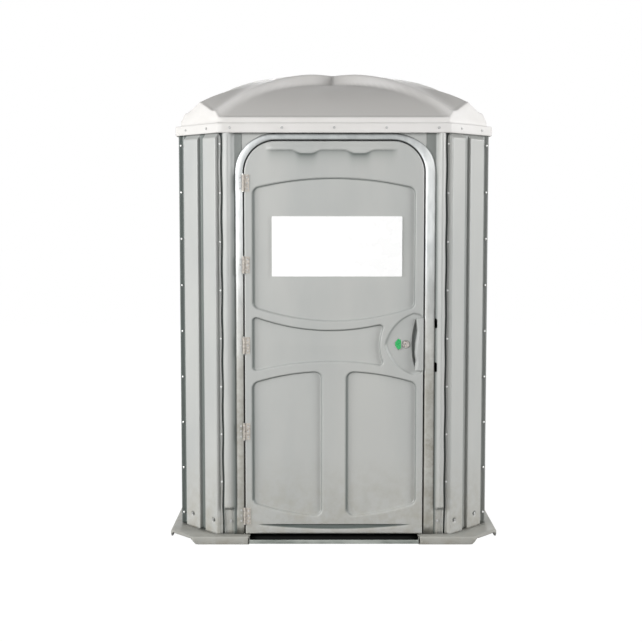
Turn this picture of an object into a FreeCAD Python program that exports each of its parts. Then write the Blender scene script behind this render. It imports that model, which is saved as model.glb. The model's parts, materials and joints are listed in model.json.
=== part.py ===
"""Portable toilet cabin of the wide, step-free kind: millimetres, +Z up.

The origin is the centre of the footprint on the ground. The door is in the -Y wall, and +X is to the
right of someone who faces it. Every wall size is worked out from the footprint and the ledge.
"""
import FreeCAD
import Part
import math
import os

V = FreeCAD.Vector
UP = V(0, 0, 1)
FRONT = V(0, -1, 0)
BACK = V(0, 1, 0)
RIGHT = V(1, 0, 0)
LEFT = V(-1, 0, 0)
ROOT2 = math.sqrt(2)

# Overall size
footprint = 1575.0
cabin_height = 2286.0
base_corner = 120.0

# Base pan
ledge_width = 39.5
ledge_height = 36.0
ledge_bevel = 4.0
base_wall = 6.0
floor_top = 20.0
floor_thickness = 12.0
curb_height = 130.0
curb_thickness = 6.0
runner_width = 60.0
runner_count = 7
arch_height = 28.0
arch_depth = 66.0
arch_slope = 12.0
anchor_hole_radius = 7.0
doorstep_inset = 26.0
threshold_thickness = 2.0
threshold_depth = 52.0
threshold_end_gap = 1.0

# Walls
wall_corner = 198.0
wall_foot_gap = 0.3
wall_top_drop = 4.5
sheet = 4.0
corner_rib_depth = 18.0
rib_draft = 4.0
rib_bevel = 20.0
rib_head = 23.0
groove_width = 34.0
corner_flange_edge = 526.0
corner_rib_margin = 12.0
corner_rivet_strip = 36.0
wall_rib_count = 7
louvre_rib_gap = 130.0
wall_tuck = 30.0
seat_gap = 0.5

# Front wall and door frame
jamb_recess = 14.0
frame_opening_half = 428.0
frame_face_width = 34.0
frame_head_width = 28.0
frame_sheet = 3.0
frame_depth = 43.5
frame_lip = 20.0
frame_head_drop = 29.0
frame_corner_radius = 155.0
frame_clearance = 0.5
column_base_gap = 35.0
column_slope = 19.0
column_face_outer = 521.0
column_depth = 26.0
column_foot = 172.0
column_foot_bevel = 22.0
column_top_gap = 1.0
seam_gap = 1.0
keeper_slot_width = 14.0
keeper_slot_height = 40.0
keeper_slot_above = 98.0
keeper_slot_below = 109.0
seal_width = 12.0
seal_thickness = 6.0

# Door
door_side_gap = 8.0
door_bottom = 39.0
door_top_gap = 8.0
door_face_proud = 8.5
door_thickness = 42.0
door_skin = 4.0
door_rim = 5.0
outer_skin_depth = 22.0
pocket_depth = 10.0
pocket_radius = 37.0
pocket_outer_radius = 15.0
foot_groove_depth = 8.0
foot_groove_top = 84.0
foot_groove_sag = 21.0
foot_groove_inset = 58.0
stile = 40.0
upper_shoulder_drop = 211.0
upper_rise = 42.0
upper_foot_gap = 16.0
upper_sag = 60.0
middle_pod_gap = 10.0
middle_waist = 16.0
middle_left_above = 124.0
middle_centre_above = 71.0
middle_right_above = 94.0
middle_left_below = 125.0
middle_right_below = 97.0
middle_bottom_bulge = 24.0
lower_stile_half = 60.0
lower_outer_gap = 21.0
lower_inner_gap = 5.0
lower_bottom_outer = 178.0
lower_bottom_inner = 124.0
lower_bulge = 10.0
sign_width = 611.0
sign_height = 282.0
sign_thickness = 3.0
sign_centre_x = 13.5
sign_raise = 6.5

# Latch and handle
pod_recess = 8.0
pod_rim = 3.0
pod_flange = 8.0
pod_clearance = 0.3
latch_level = 947.0
spindle_inset = 81.0
spindle_radius = 5.0
running_clearance = 0.05
coin_disc_radius = 16.5
coin_disc_thickness = 2.5
window_offset = 37.0
window_half_width = 15.0
window_half_height = 28.0
window_thickness = 2.0
flag_thickness = 1.5
flag_gap = 0.7
pod_right_inset = 22.0
pod_above = 153.0
pod_below = 155.0
pod_left_inset = 178.0
pod_shoulder_inset = 132.0
pod_shoulder_rise = 88.0
cup_depth = 22.0
cup_wall = 2.5
cup_right_inset = 25.0
cup_tip_inset = 30.0
cup_left_inset = 48.0
cup_margin = 4.0
pull_width = 24.0
pull_proud = 14.0
pull_half_height = 123.0
tongue_length = 98.0
tongue_width = 24.0
tongue_thickness = 4.0
tongue_gap = 5.0
latch_plate_thickness = 3.0
latch_plate_half_width = 30.0
latch_plate_half_height = 55.0
lever_length = 84.0
lever_thickness = 16.0
strike_thickness = 3.0
inner_pull_inset = 80.0
inner_pull_lift = 183.0
inner_pull_height = 160.0
inner_pull_reach = 44.0
inner_pull_radius = 8.0

# Hinges
hinge_lifts = (88.0, 494.0, 904.0)
hinge_drops = (584.0, 202.0)
hinge_height = 79.0
hinge_leaf_width = 22.0
hinge_leaf = 2.5
hinge_knuckles = 5
barrel_radius = 5.0
pin_radius = 2.5
knuckle_gap = 0.4

# Roof
roof_rise = 305.0
rim_overhang = 16.0
rim_corner_growth = 23.0
rim_height = 46.0
roof_wall = 4.0
shelf_inset = 36.0
dome_inset = 8.0
dome_corner_growth = 2.0
dome_thickness = 5.0
facet_apex_drop = 68.0
facet_foot_rise = 20.0
facet_power = 3.5
hip_fall = 246.64643
hip_half_width = 142.0
riser_run = 48.0
riser_drop = 90.0

# Fasteners
rivet_radius = 2.4
rivet_head_radius = 5.0
rivet_head_height = 2.6
screw_radius = 2.5
screw_head_radius = 6.5
screw_head_height = 4.0
small_head_radius = 5.2
front_seam_rivets = 8
front_seam_bottom = 288.0
front_seam_drop = 49.0
side_seam_rivets = 9
side_seam_bottom = 90.0
side_seam_drop = 46.0
base_screw_level = 100.0
rim_screw_pitch = 242.5
rim_screw_pairs = 2

# Toilet
toilet_inset = 446.0
tank_left_reach = 286.0
tank_right_reach = 334.0
tank_front_inset = 602.0
tank_rear_gap = 10.0
tank_top = 430.0
tank_wall = 5.0
tank_lug = 40.0
tank_edge_radius = 30.0
seat_inset = 387.0
seat_half_width = 180.0
seat_half_length = 205.0
seat_hole_half_width = 110.0
seat_hole_half_length = 145.0
seat_thickness = 20.0
seat_bumper = 7.0
seat_mouth = 90.0
seat_axis_reach = 225.0
seat_barrel_radius = 11.0
seat_barrel_half = 94.5
seat_pin_radius = 4.0
seat_post_width = 20.0
vent_side_inset = 162.0
vent_back_inset = 132.0
vent_radius = 45.0
vent_wall = 3.0
vent_pipe_bottom = 380.0
vent_pipe_drop = 96.0
vent_cap_radius = 75.0
vent_cap_height = 16.0
vent_cap_gap = 14.0
vent_skirt = 10.0
vent_fin_depth = 30.0
vent_bore_gap = 1.0
vent_collar_width = 18.0
vent_collar_drop = 45.0

# Fittings on the walls
bar_radius = 16.0
bar_wall = 2.5
bar_standoff = 56.0
bar_bend = 40.0
bar_flange_radius = 38.0
bar_flange_thickness = 5.0
bar_level = 860.0
side_bar_ribs = 5
rear_bar_ribs = 3
paper_level = 620.0
roll_radius = 55.0
roll_width = 100.0
roll_core_radius = 20.0
paper_reach = 75.0
paper_bracket = 4.0
paper_end_gap = 8.0
paper_plate_half = 40.0
paper_cheek_half = 22.0
paper_rod_radius = 6.0
roll_play = 0.4
roll_gap = 1.0
hook_rib_gap = 50.0
hook_plate = 4.0
hook_plate_half = 46.0
hook_reach = 45.0
hook_rise = 28.0
hook_rod_radius = 5.0
hook_ball_radius = 8.0
louvre_window_width = 460.0
louvre_window_height = 90.0
louvre_drop = 146.5
louvre_count = 5

# Planes worked out from the sizes above
base_half = footprint / 2
wall_half = base_half - ledge_width
wall_foot = ledge_height + wall_foot_gap
wall_rib_depth = corner_rib_depth + sheet
wall_face = wall_half - wall_rib_depth
wall_inner = wall_face - sheet
corner_sheet_face = wall_half - corner_rib_depth
curb_inset = wall_rib_depth + sheet + seat_gap
curb_face = wall_half - curb_inset

rim_top = cabin_height - roof_rise
rim_bottom = rim_top - rim_height
rim_half = wall_half + rim_overhang
rim_corner = wall_corner + rim_corner_growth
shelf_half = wall_half - shelf_inset
dome_half = wall_half - dome_inset
dome_corner = wall_corner + dome_corner_growth
facet_apex = cabin_height - facet_apex_drop
facet_drop = facet_apex - rim_top - facet_foot_rise
hip_reach = (2 * dome_half - dome_corner) / ROOT2
hip_radius = (hip_reach ** 2 + hip_fall ** 2) / (2 * hip_fall)
hip_centre_z = cabin_height - hip_radius
vent_pipe_top = cabin_height - vent_pipe_drop

wall_top = rim_top - wall_top_drop
rib_face_top = rim_bottom - rib_head
louvre_level = wall_top - louvre_drop
side_rib_top = louvre_level - louvre_rib_gap
hook_level = side_rib_top - hook_rib_gap
front_seam_top = rim_bottom - front_seam_drop
side_seam_top = rim_bottom - side_seam_drop

frame_top = rim_bottom - frame_head_drop
doorstep_half = frame_opening_half - doorstep_inset
column_base_inner = frame_opening_half + column_base_gap
column_face_inner = column_base_inner + column_slope
door_half = frame_opening_half - door_side_gap
foot_groove_half = door_half - foot_groove_inset
jamb_y = -(wall_half - jamb_recess)
frame_face_y = jamb_y - frame_clearance - frame_sheet
door_front = frame_face_y - door_face_proud
door_back = door_front + door_thickness
skin_joint = door_front + outer_skin_depth
lip_back = frame_face_y + frame_depth
lip_front = lip_back - frame_sheet
lip_half = frame_opening_half - frame_lip
door_top = frame_top - door_top_gap
door_corner_radius = frame_corner_radius - door_top_gap
axis_x = -(frame_opening_half + door_half) / 2
axis_y = door_front - barrel_radius + 0.5
hinge_levels = [door_bottom + lift for lift in hinge_lifts] + [frame_top - drop for drop in hinge_drops]

pod_front = door_front + pod_recess
pod_right = door_half - pod_right_inset
pod_left = door_half - pod_left_inset
pod_shoulder_x = door_half - pod_shoulder_inset
cup_right = door_half - cup_right_inset
cup_tip_x = door_half - cup_tip_inset
cup_left = door_half - cup_left_inset
spindle_x = door_half - spindle_inset
inner_pull_x = door_half - inner_pull_inset
middle_right = pod_left - middle_pod_gap
pod_top = latch_level + pod_above
pod_bottom = latch_level - pod_below
pull_bottom = latch_level - pull_half_height
pull_top = latch_level + pull_half_height
keeper_slot_levels = (latch_level + keeper_slot_above, latch_level - keeper_slot_below)
inner_pull_bottom = latch_level + inner_pull_lift
inner_pull_top = inner_pull_bottom + inner_pull_height
upper_foot = pod_top + upper_foot_gap
upper_shoulder = door_top - upper_shoulder_drop
sign_centre_z = (upper_foot + upper_shoulder) / 2 + sign_raise
middle_top_left = latch_level + middle_left_above
middle_top_centre = latch_level + middle_centre_above
middle_top_right = latch_level + middle_right_above
middle_bottom_left = latch_level - middle_left_below
middle_bottom_right = latch_level - middle_right_below
lower_top_outer = pod_bottom - lower_outer_gap
lower_top_inner = middle_bottom_left - lower_inner_gap

toilet_x = wall_inner - toilet_inset
tank_left = toilet_x - tank_left_reach
tank_right = toilet_x + tank_right_reach
tank_front = wall_inner - tank_front_inset
seat_centre_y = wall_inner - seat_inset
seat_axis_y = seat_centre_y + seat_axis_reach
vent_x = wall_inner - vent_side_inset
vent_y = wall_inner - vent_back_inset


# Plain solids

def box(x0, x1, y0, y1, z0, z1):
    """A box between two values on each axis."""
    return Part.makeBox(x1 - x0, y1 - y0, z1 - z0, V(x0, y0, z0))


def rod(radius, start, direction, length):
    """A round bar from start along direction."""
    return Part.makeCylinder(radius, length, start, direction)


def join(shapes):
    """All the shapes as one, with shared faces merged."""
    first, rest = shapes[0], shapes[1:]
    return first.fuse(rest).removeSplitter() if rest else first


def group(shapes):
    """Separate solids kept side by side in one node."""
    return Part.makeCompound([solid for shape in shapes for solid in shape.Solids])


def flip_x(shape):
    """The mirror image across the plane x = 0."""
    return shape.mirror(V(0, 0, 0), RIGHT)


def flip_y(shape):
    """The mirror image across the plane y = 0."""
    return shape.mirror(V(0, 0, 0), BACK)


def placed(shape, point, normal):
    """A copy of a shape built along +Z, stood at point along normal."""
    copy = shape.copy()
    copy.Placement = FreeCAD.Placement(point, FreeCAD.Rotation(UP, normal))
    return copy


def flat(points):
    """A flat face with straight edges through the points."""
    return Part.Face(Part.makePolygon(points + points[:1]))


def between(low, high):
    """The flat-sided solid between two outlines with as many corners."""
    faces = [flat(low), flat(high)]
    count = len(low)
    for i in range(count):
        j = (i + 1) % count
        faces.append(flat([low[i], low[j], high[j], high[i]]))
    solid = Part.Solid(Part.makeShell(faces))
    if solid.Volume < 0:
        solid.reverse()
    return solid


def octagon(half, corner, z):
    """The corners of a square outline with cut corners: half width and corner leg."""
    run = half - corner
    places = [(run, -half), (half, -run), (half, run), (run, half),
              (-run, half), (-half, run), (-half, -run), (-run, -half)]
    return [V(x, y, z) for x, y in places]


def slab(half, corner, z0, z1):
    """An upright block with the cut-corner outline."""
    return flat(octagon(half, corner, z0)).extrude(V(0, 0, z1 - z0))


def inner_corner(corner, inset):
    """The corner leg of the outline that lies inset inside one with this leg."""
    return corner - inset * (2 - ROOT2)


def wall_slab(inset, z0, z1):
    """A block whose sides lie inset inside the outer rib faces of the walls."""
    return slab(wall_half - inset, inner_corner(wall_corner, inset), z0, z1)


def wall_ring(inset, thickness, z0, z1):
    """A ring of sheet that follows the walls, inset inside their rib faces."""
    return wall_slab(inset, z0, z1).cut(wall_slab(inset + thickness, z0, z1))


def upright_face(points, y):
    """A face in the plane y from a closed list of points and arcs.

    An item is (x, z), or ((x, z), (x, z)) for an arc through the first point to the second.
    """
    def at(place):
        return V(place[0], y, place[1])

    edges = []
    here = points[0]
    for item in points[1:] + points[:1]:
        if isinstance(item[0], tuple):
            through, end = item
            edges.append(Part.Arc(at(here), at(through), at(end)).toShape())
            here = end
        else:
            edges.append(Part.makeLine(at(here), at(item)))
            here = item
    return Part.Face(Part.Wire(edges))


def arch_outline(half, bottom, top, radius):
    """The outline of an upside-down U with rounded top corners."""
    bend = radius * (1 - math.sqrt(0.5))
    return [(-half, bottom), (half, bottom), (half, top - radius),
            ((half - bend, top - bend), (half - radius, top)), (radius - half, top),
            ((bend - half, top - bend), (-half, top - radius))]


def arch_block(half, bottom, top, radius, y0, y1):
    """An upside-down U filled in, between two planes of y."""
    return upright_face(arch_outline(half, bottom, top, radius), y0).extrude(V(0, y1 - y0, 0))


def rounded(solid, radius, direction):
    """The solid with its edges along one direction rounded."""
    edges = [edge for edge in solid.Edges if along(edge, direction)]
    return solid.makeFillet(radius, edges)


def along(edge, direction):
    """True if a straight edge runs along the direction."""
    if edge.Curve.TypeId != "Part::GeomLine":
        return False
    return abs(abs(edge.tangentAt(edge.FirstParameter).dot(direction)) - 1) < 1e-6


# Ribs pressed out of a wall sheet

class Wall:
    """A flat stretch of wall: u runs along it, d out of it, z up."""

    def __init__(self, origin, run, out):
        self.origin = origin
        self.run = run
        self.out = out

    def point(self, u, d, z):
        return self.origin + self.run * u + self.out * d + UP * z

    def block(self, u0, u1, z0, z1, depth, start, draft, low, high):
        """A tapered block from d = start to depth; it widens towards the sheet by the slopes."""
        outlines = []
        for d in (start, depth):
            reach = depth - d
            left, right = u0 - draft * reach, u1 + draft * reach
            bottom, top = z0 - low * reach, z1 + high * reach
            corners = [(left, bottom), (right, bottom), (right, top), (left, top)]
            outlines.append([self.point(u, d, z) for u, z in corners])
        return between(*outlines)

    def rib(self, u0, u1, z0, z1, depth, draft, low_bevel, high_bevel):
        """A hollow rib: the outer block, and the space to cut out behind it."""
        slope, low, high = draft / depth, low_bevel / depth, high_bevel / depth
        outer = self.block(u0, u1, z0, z1, depth, 0, slope, low, high)
        floor = z0 + (sheet if low_bevel else -1)
        inner = self.block(u0 + sheet, u1 - sheet, floor, z1 - sheet, depth - sheet,
                           -sheet - 1, slope, low, high)
        return outer, inner


def pressed(sheet_metal, ribs):
    """A wall sheet with its hollow ribs pressed out."""
    outers = [outer for outer, _ in ribs]
    inners = [inner for _, inner in ribs]
    return sheet_metal.fuse(outers).cut(inners).removeSplitter()


# Fasteners

def rivet(grip):
    """A blind rivet along +Z: domed head above zero, body below."""
    head = Part.makeCylinder(rivet_head_radius, rivet_head_height)
    head = head.makeFillet(rivet_head_height * 0.8, [head.Edges[0]])
    return head.fuse(rod(rivet_radius, V(0, 0, -grip), UP, grip)).removeSplitter()


def screw(grip, head_radius=screw_head_radius):
    """A washer-head screw along +Z: six-sided head above zero, body below."""
    washer = Part.makeCylinder(head_radius, screw_head_height * 0.35)
    corners = [V(head_radius * 0.72 * math.cos(math.radians(60 * i)),
                 head_radius * 0.72 * math.sin(math.radians(60 * i)), 0) for i in range(7)]
    nut = Part.Face(Part.makePolygon(corners)).extrude(V(0, 0, screw_head_height))
    return washer.fuse([nut, rod(screw_radius, V(0, 0, -grip), UP, grip)]).removeSplitter()


def drill(shape, spots, radius, reach=80.0):
    """Holes at each spot, cut both ways along its normal."""
    tools = [rod(radius, point - normal * reach, normal, 2 * reach) for point, normal in spots]
    return shape.cut(tools) if tools else shape


def fit(fastener, spots):
    """One fastener at each spot."""
    return group([placed(fastener, point, normal) for point, normal in spots])


def levels(count, bottom, top):
    """Evenly spaced heights."""
    return [bottom + (top - bottom) * i / (count - 1) for i in range(count)]


# Places of the walls: the front right corner, and its mirror images

corner_out = V(1, -1, 0) / ROOT2
corner_run = V(1, 1, 0) / ROOT2


def corner_middle(inset):
    """The middle of the front right corner face, inset inside the rib face."""
    middle = wall_half - wall_corner / 2
    return V(middle, -middle, 0) - corner_out * inset


corner_face_length = wall_corner * ROOT2
corner_half = (wall_corner - corner_rib_depth * (2 - ROOT2)) * ROOT2 / 2
corner_wall = Wall(corner_middle(corner_rib_depth), corner_run, corner_out)
corner_strip_u = corner_half - (corner_rivet_strip - corner_rib_depth * 0.4142) / 2
front_strip_x = (corner_flange_edge + wall_half - wall_corner - corner_rib_depth * 0.4142) / 2
flat_run = wall_face - inner_corner(wall_corner, wall_rib_depth)
wall_pitch = 2 * (flat_run - rib_draft) / wall_rib_count


def corner_rib_spans():
    """The two ribs of a corner panel, along its face."""
    full = corner_face_length
    width = (full - corner_rib_margin - groove_width - corner_rivet_strip) / 2
    first = -full / 2 + corner_rib_margin
    second = first + width + groove_width
    return [(first, first + width), (second, second + width)]


def wall_rib_spans():
    """The ribs of a flat wall, along its face."""
    width = wall_pitch - groove_width
    middle = (wall_rib_count - 1) / 2
    return [((i - middle) * wall_pitch - width / 2, (i - middle) * wall_pitch + width / 2)
            for i in range(wall_rib_count)]


def groove_middles():
    """The middles of the grooves between the ribs of a flat wall, where fittings are screwed on."""
    spans = wall_rib_spans()
    return [(left[1] + right[0]) / 2 for left, right in zip(spans, spans[1:])]


def front_seam_spots():
    """Rivets of the seam between the front wall and the right corner panel."""
    return [(V(front_strip_x, -corner_sheet_face, z), FRONT)
            for z in levels(front_seam_rivets, front_seam_bottom, front_seam_top)]


def side_seam_spots():
    """Rivets of the seam between the right corner panel and the side wall."""
    return [(corner_wall.point(corner_strip_u, 0, z), corner_out)
            for z in levels(side_seam_rivets, side_seam_bottom, side_seam_top)]


def corner_base_spots():
    """Screws through the corner ribs into the curb of the base."""
    spans = corner_rib_spans()
    quarter = (spans[0][1] - spans[0][0]) / 4
    places = (spans[0][0] + quarter, spans[1][0] + 2 * quarter)
    return [(corner_wall.point(u, corner_rib_depth, base_screw_level), corner_out) for u in places]


def side_base_spots():
    """Screws through every other rib of the right wall into the curb."""
    middles = [(a + b) / 2 for a, b in wall_rib_spans()[::2]]
    return [(V(wall_half, u, base_screw_level), RIGHT) for u in middles]


def back_base_spots():
    """Screws through every other rib of the back wall into the curb."""
    return [(V(point.y, wall_half, base_screw_level), BACK) for point, _ in side_base_spots()]


def front_base_spots():
    """Screws through the front wall, beside the doorway, into the curb."""
    middle = (column_base_inner + column_face_outer) / 2
    return [(V(side * middle, jamb_y, base_screw_level), FRONT) for side in (-1, 1)]


def rim_front_spots():
    """Screws through the front side of the roof rim."""
    level = (rim_bottom + rim_top) / 2
    steps = range(-rim_screw_pairs, rim_screw_pairs + 1)
    return [(V(rim_screw_pitch * i, -rim_half, level), FRONT) for i in steps]


def rim_corner_spots():
    """Screws through the front right corner of the roof rim."""
    level = (rim_bottom + rim_top) / 2
    middle = rim_half - rim_corner / 2
    step = rim_corner * ROOT2 / 4
    return [(V(middle, -middle, level) + corner_run * step * i, corner_out) for i in (-1, 1)]


def swap(spots, sx, sy):
    """The same places mirrored across x and y as the signs say."""
    return [(V(p.x * sx, p.y * sy, p.z), V(n.x * sx, n.y * sy, n.z)) for p, n in spots]


def four_corners(spots):
    """The same places on all four corners."""
    return [spot for sx in (1, -1) for sy in (1, -1) for spot in swap(spots, sx, sy)]


def quarter_turn(spots):
    """Places on the front turned to the right side."""
    return [(V(-p.y, p.x, p.z), V(-n.y, n.x, n.z)) for p, n in spots]


def rim_spots():
    """Every screw of the roof rim."""
    front = rim_front_spots()
    side = quarter_turn(front)
    return front + swap(front, 1, -1) + side + swap(side, -1, 1) + four_corners(rim_corner_spots())


def base_spots():
    """Every screw of the walls into the curb, by wall."""
    side = side_base_spots()
    return (four_corners(corner_base_spots()) + side + swap(side, -1, 1)
            + back_base_spots() + front_base_spots())


# Base

def base_pan():
    """Floor, runners, outer ledge and the curb that the walls are screwed to."""
    body = slab(base_half, base_corner, 0, ledge_height - ledge_bevel)
    top = between(octagon(base_half, base_corner, ledge_height - ledge_bevel),
                  octagon(base_half - ledge_bevel, inner_corner(base_corner, ledge_bevel),
                          ledge_height))
    curb_top = wall_slab(curb_inset, 0, curb_height)
    inside = curb_inset + curb_thickness
    channel = slab(base_half - base_wall, inner_corner(base_corner, base_wall), -1,
                   ledge_height - base_wall)
    channel = channel.cut(wall_slab(curb_inset, -1, ledge_height))
    doorway = doorstep_half + base_wall
    channel = channel.cut(box(-doorway, doorway, -base_half - 1, 0, -1, ledge_height))
    pan = body.fuse([top, curb_top]).cut(channel)
    pan = pan.cut(wall_slab(inside, floor_top, curb_height + 1))
    under = slab(curb_face - curb_thickness, inner_corner(wall_corner, inside), -1,
                 floor_top - floor_thickness)
    under = under.fuse(box(-doorstep_half, doorstep_half, -base_half - 1, 0, -1,
                           floor_top - floor_thickness))
    pitch = 2 * (curb_face - runner_width) / (runner_count - 1)
    for i in range(runner_count):
        middle = (i - (runner_count - 1) / 2) * pitch
        under = under.cut(box(middle - runner_width / 2, middle + runner_width / 2,
                              -curb_face, curb_face, -2, floor_top))
    doorway_cut = box(-doorstep_half, doorstep_half, -base_half - 1, -curb_face + curb_thickness + 1,
                      floor_top, curb_height + 1)
    curb_break = frame_opening_half + frame_sheet + 3
    curb_cut = box(-curb_break, curb_break, -base_half, -curb_face + curb_thickness + 1,
                   ledge_height, curb_height + 1)
    lip_line = threshold_thickness
    step_cut = box(-doorstep_half, doorstep_half, -base_half - 1, -base_half + lip_line, -1, floor_top)
    pan = pan.cut([under, doorway_cut, curb_cut, step_cut])
    pan = pan.cut([flip(arch_cut()) for flip in (same, flip_x, flip_y, flip_both)])
    pan = drill(pan, [(p, n) for p, n in base_spots()], screw_radius)
    pan = drill(pan, anchor_spots(), anchor_hole_radius, ledge_height)
    return drill(pan, tank_screw_spots(), screw_radius, 2 * floor_thickness)


def same(shape):
    """The shape unchanged."""
    return shape


def flip_both(shape):
    """The shape turned half round."""
    return flip_y(flip_x(shape))


def arch_cut():
    """The space under the front right corner of the ledge."""
    middle = base_half - base_corner / 2
    half = base_corner * ROOT2 / 2
    wall = Wall(V(middle, -middle, 0), corner_run, corner_out)
    corners = [(-half - arch_slope, -1), (half + arch_slope, -1), (half - arch_slope, arch_height),
               (arch_slope - half, arch_height), (-half - arch_slope, -1)]
    face = Part.Face(Part.makePolygon([wall.point(u, 20, z) for u, z in corners]))
    return face.extrude(corner_out * -(arch_depth + 20))


def anchor_spots():
    """Ground anchor holes in the corners of the ledge."""
    outer = base_half - base_corner / 2
    inner = wall_half - wall_corner / 2
    middle = (outer + inner) / 2
    return four_corners([(V(middle, -middle, ledge_height), UP)])


def threshold_strip():
    """The bright angle strip along the front edge of the floor."""
    half = doorstep_half - threshold_end_gap
    tread = box(-half, half, -base_half, -base_half + threshold_depth,
                floor_top, floor_top + threshold_thickness)
    nose = box(-half, half, -base_half, -base_half + threshold_thickness,
               floor_top - floor_thickness, floor_top + threshold_thickness)
    return join([tread, nose])


# Walls

def corner_panel():
    """The front right corner panel with its two ribs and two rivet strips."""
    reach = 2 * wall_half
    end = corner_sheet_face - inner_corner(wall_corner, corner_rib_depth)
    ring = wall_ring(corner_rib_depth, sheet, wall_foot, wall_top)
    skin = ring.common(box(corner_flange_edge, reach, -reach, -end, 0, wall_top))
    ribs = [corner_wall.rib(u0, u1, wall_foot, rib_face_top, corner_rib_depth, rib_draft, 0, rib_bevel)
            for u0, u1 in corner_rib_spans()]
    panel = pressed(skin, ribs)
    panel = drill(panel, front_seam_spots() + side_seam_spots(), rivet_radius, 12)
    return drill(panel, corner_base_spots() + rim_corner_spots() + rim_front_spots(), screw_radius)


def side_panel(fitting_spots):
    """The right wall: ribs below, a louvre window above, edges tucked behind the corner panels."""
    reach = 2 * wall_half
    tuck = flat_run + wall_tuck / ROOT2
    ring = wall_ring(wall_rib_depth, sheet, wall_foot, wall_top)
    skin = ring.common(box(0, reach, -tuck, tuck, 0, wall_top))
    wall = Wall(V(wall_face, 0, 0), BACK, RIGHT)
    ribs = [wall.rib(u0, u1, wall_foot, side_rib_top, wall_rib_depth, rib_draft, 0, rib_bevel)
            for u0, u1 in wall_rib_spans()]
    panel = pressed(skin, ribs)
    half_w, half_h = louvre_window_width / 2, louvre_window_height / 2
    panel = panel.cut(box(wall_inner - 1, wall_face + 1, -half_w, half_w,
                          louvre_level - half_h, louvre_level + half_h))
    seams = side_seam_spots() + swap(side_seam_spots(), 1, -1)
    panel = drill(panel, seams, rivet_radius, 20)
    screws = side_base_spots() + quarter_turn(rim_front_spots())
    panel = drill(panel, screws, screw_radius)
    return drill(panel, fitting_spots, screw_radius, 20)


def back_panel():
    """The rear wall, ribbed to the top."""
    reach = 2 * wall_half
    edge = flat_run - 0.5
    skin = wall_ring(wall_rib_depth, sheet, wall_foot, wall_top)
    skin = skin.common(box(-edge, edge, 0, reach, 0, wall_top))
    wall = Wall(V(0, wall_face, 0), RIGHT, BACK)
    ribs = [wall.rib(u0, u1, wall_foot, rib_face_top, wall_rib_depth, rib_draft, 0, rib_bevel)
            for u0, u1 in wall_rib_spans()]
    panel = pressed(skin, ribs)
    panel = drill(panel, rear_bar_spots(), screw_radius, 20)
    seams = swap(front_seam_spots(), 1, -1) + swap(front_seam_spots(), -1, -1)
    panel = drill(panel, seams, rivet_radius, 12)
    return drill(panel, back_base_spots() + swap(rim_front_spots(), 1, -1), screw_radius)


def front_panel():
    """The front wall: jambs and header round the doorway, with a rounded column each side."""
    plate_edge = corner_flange_edge - seam_gap
    joggle = plate_edge - sheet
    edge = flat_run - 0.5
    plate = box(-plate_edge, plate_edge, jamb_y, jamb_y + sheet, wall_foot, wall_top)
    pieces = [plate]
    for side in (-1, 1):
        x = sorted((side * joggle, side * plate_edge))
        pieces.append(box(x[0], x[1], jamb_y, -wall_inner, wall_foot, wall_top))
        x = sorted((side * joggle, side * edge))
        pieces.append(box(x[0], x[1], -wall_face, -wall_inner, wall_foot, wall_top))
    panel = join(pieces)
    wall = Wall(V(0, jamb_y, 0), RIGHT, FRONT)
    top = rim_bottom - column_top_gap
    draft = column_face_inner - column_base_inner
    outers, inners = [], []
    for side in (-1, 1):
        u = sorted((side * column_face_inner, side * column_face_outer))
        low, high = column_foot_bevel / column_depth, 0
        slope = draft / column_depth
        outer = wall.block(u[0], u[1], column_foot, top, column_depth, 0, slope, low, high)
        inner = wall.block(u[0] + sheet, u[1] - sheet, column_foot + sheet, top - sheet,
                           column_depth - sheet, -sheet - 1, slope, low, high)
        keep = box(*sorted((side * column_base_inner * 0.9, side * (plate_edge - 1))),
                   -rim_half, 0, 0, wall_top)
        keep_in = box(*sorted((side * column_base_inner * 0.9, side * (joggle - 1))),
                      -rim_half, 0, 0, wall_top)
        outers.append(outer.common(keep))
        inners.append(inner.common(keep_in))
    panel = panel.fuse(outers).cut(inners)
    gap = frame_sheet + frame_clearance
    panel = panel.cut(arch_block(frame_opening_half + gap, 0, frame_top + gap,
                                 frame_corner_radius + gap, -base_half, 0))
    slot_left = column_base_inner + 3
    for level in keeper_slot_levels:
        panel = panel.cut(box(slot_left, slot_left + keeper_slot_width, jamb_y - 10, jamb_y + sheet + 1,
                              level - keeper_slot_height / 2, level + keeper_slot_height / 2))
    seams = front_seam_spots() + swap(front_seam_spots(), -1, 1)
    panel = drill(panel, seams, rivet_radius, 12)
    panel = drill(panel, front_base_spots(), screw_radius)
    panel = drill(panel, rim_front_spots(), screw_radius)
    return drill(panel, frame_screw_spots(), screw_radius, 12)


def louvre():
    """The louvred vent screen of the right wall."""
    half_w, half_h, lap = louvre_window_width / 2, louvre_window_height / 2, 20
    frame = box(wall_face, wall_face + sheet, -half_w - lap, half_w + lap,
                louvre_level - half_h - lap, louvre_level + half_h + lap)
    hole = box(wall_face - 1, wall_face + sheet + 1, -half_w + sheet, half_w - sheet,
               louvre_level - half_h + sheet, louvre_level + half_h - sheet)
    frame = frame.cut(hole)
    pitch = louvre_window_height / louvre_count
    slats = []
    for i in range(louvre_count):
        z = louvre_level + (i - (louvre_count - 1) / 2) * pitch
        slat = box(-1.5, 1.5, -half_w + sheet, half_w - sheet, -pitch * 0.55, pitch * 0.55)
        slat.rotate(V(0, 0, 0), BACK, -40)
        slat.translate(V(wall_face + sheet * 0.5, 0, z))
        slats.append(slat)
    return join([frame] + slats)


# Door frame

def frame_ring(half, top, radius, inner_half, inner_top, inner_radius, y0, y1):
    """An upside-down U of sheet between two outlines."""
    outer = arch_block(half, wall_foot, top, radius, y0, y1)
    return outer.cut(arch_block(inner_half, 0, inner_top, inner_radius, y0 - 1, y1 + 1))


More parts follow.
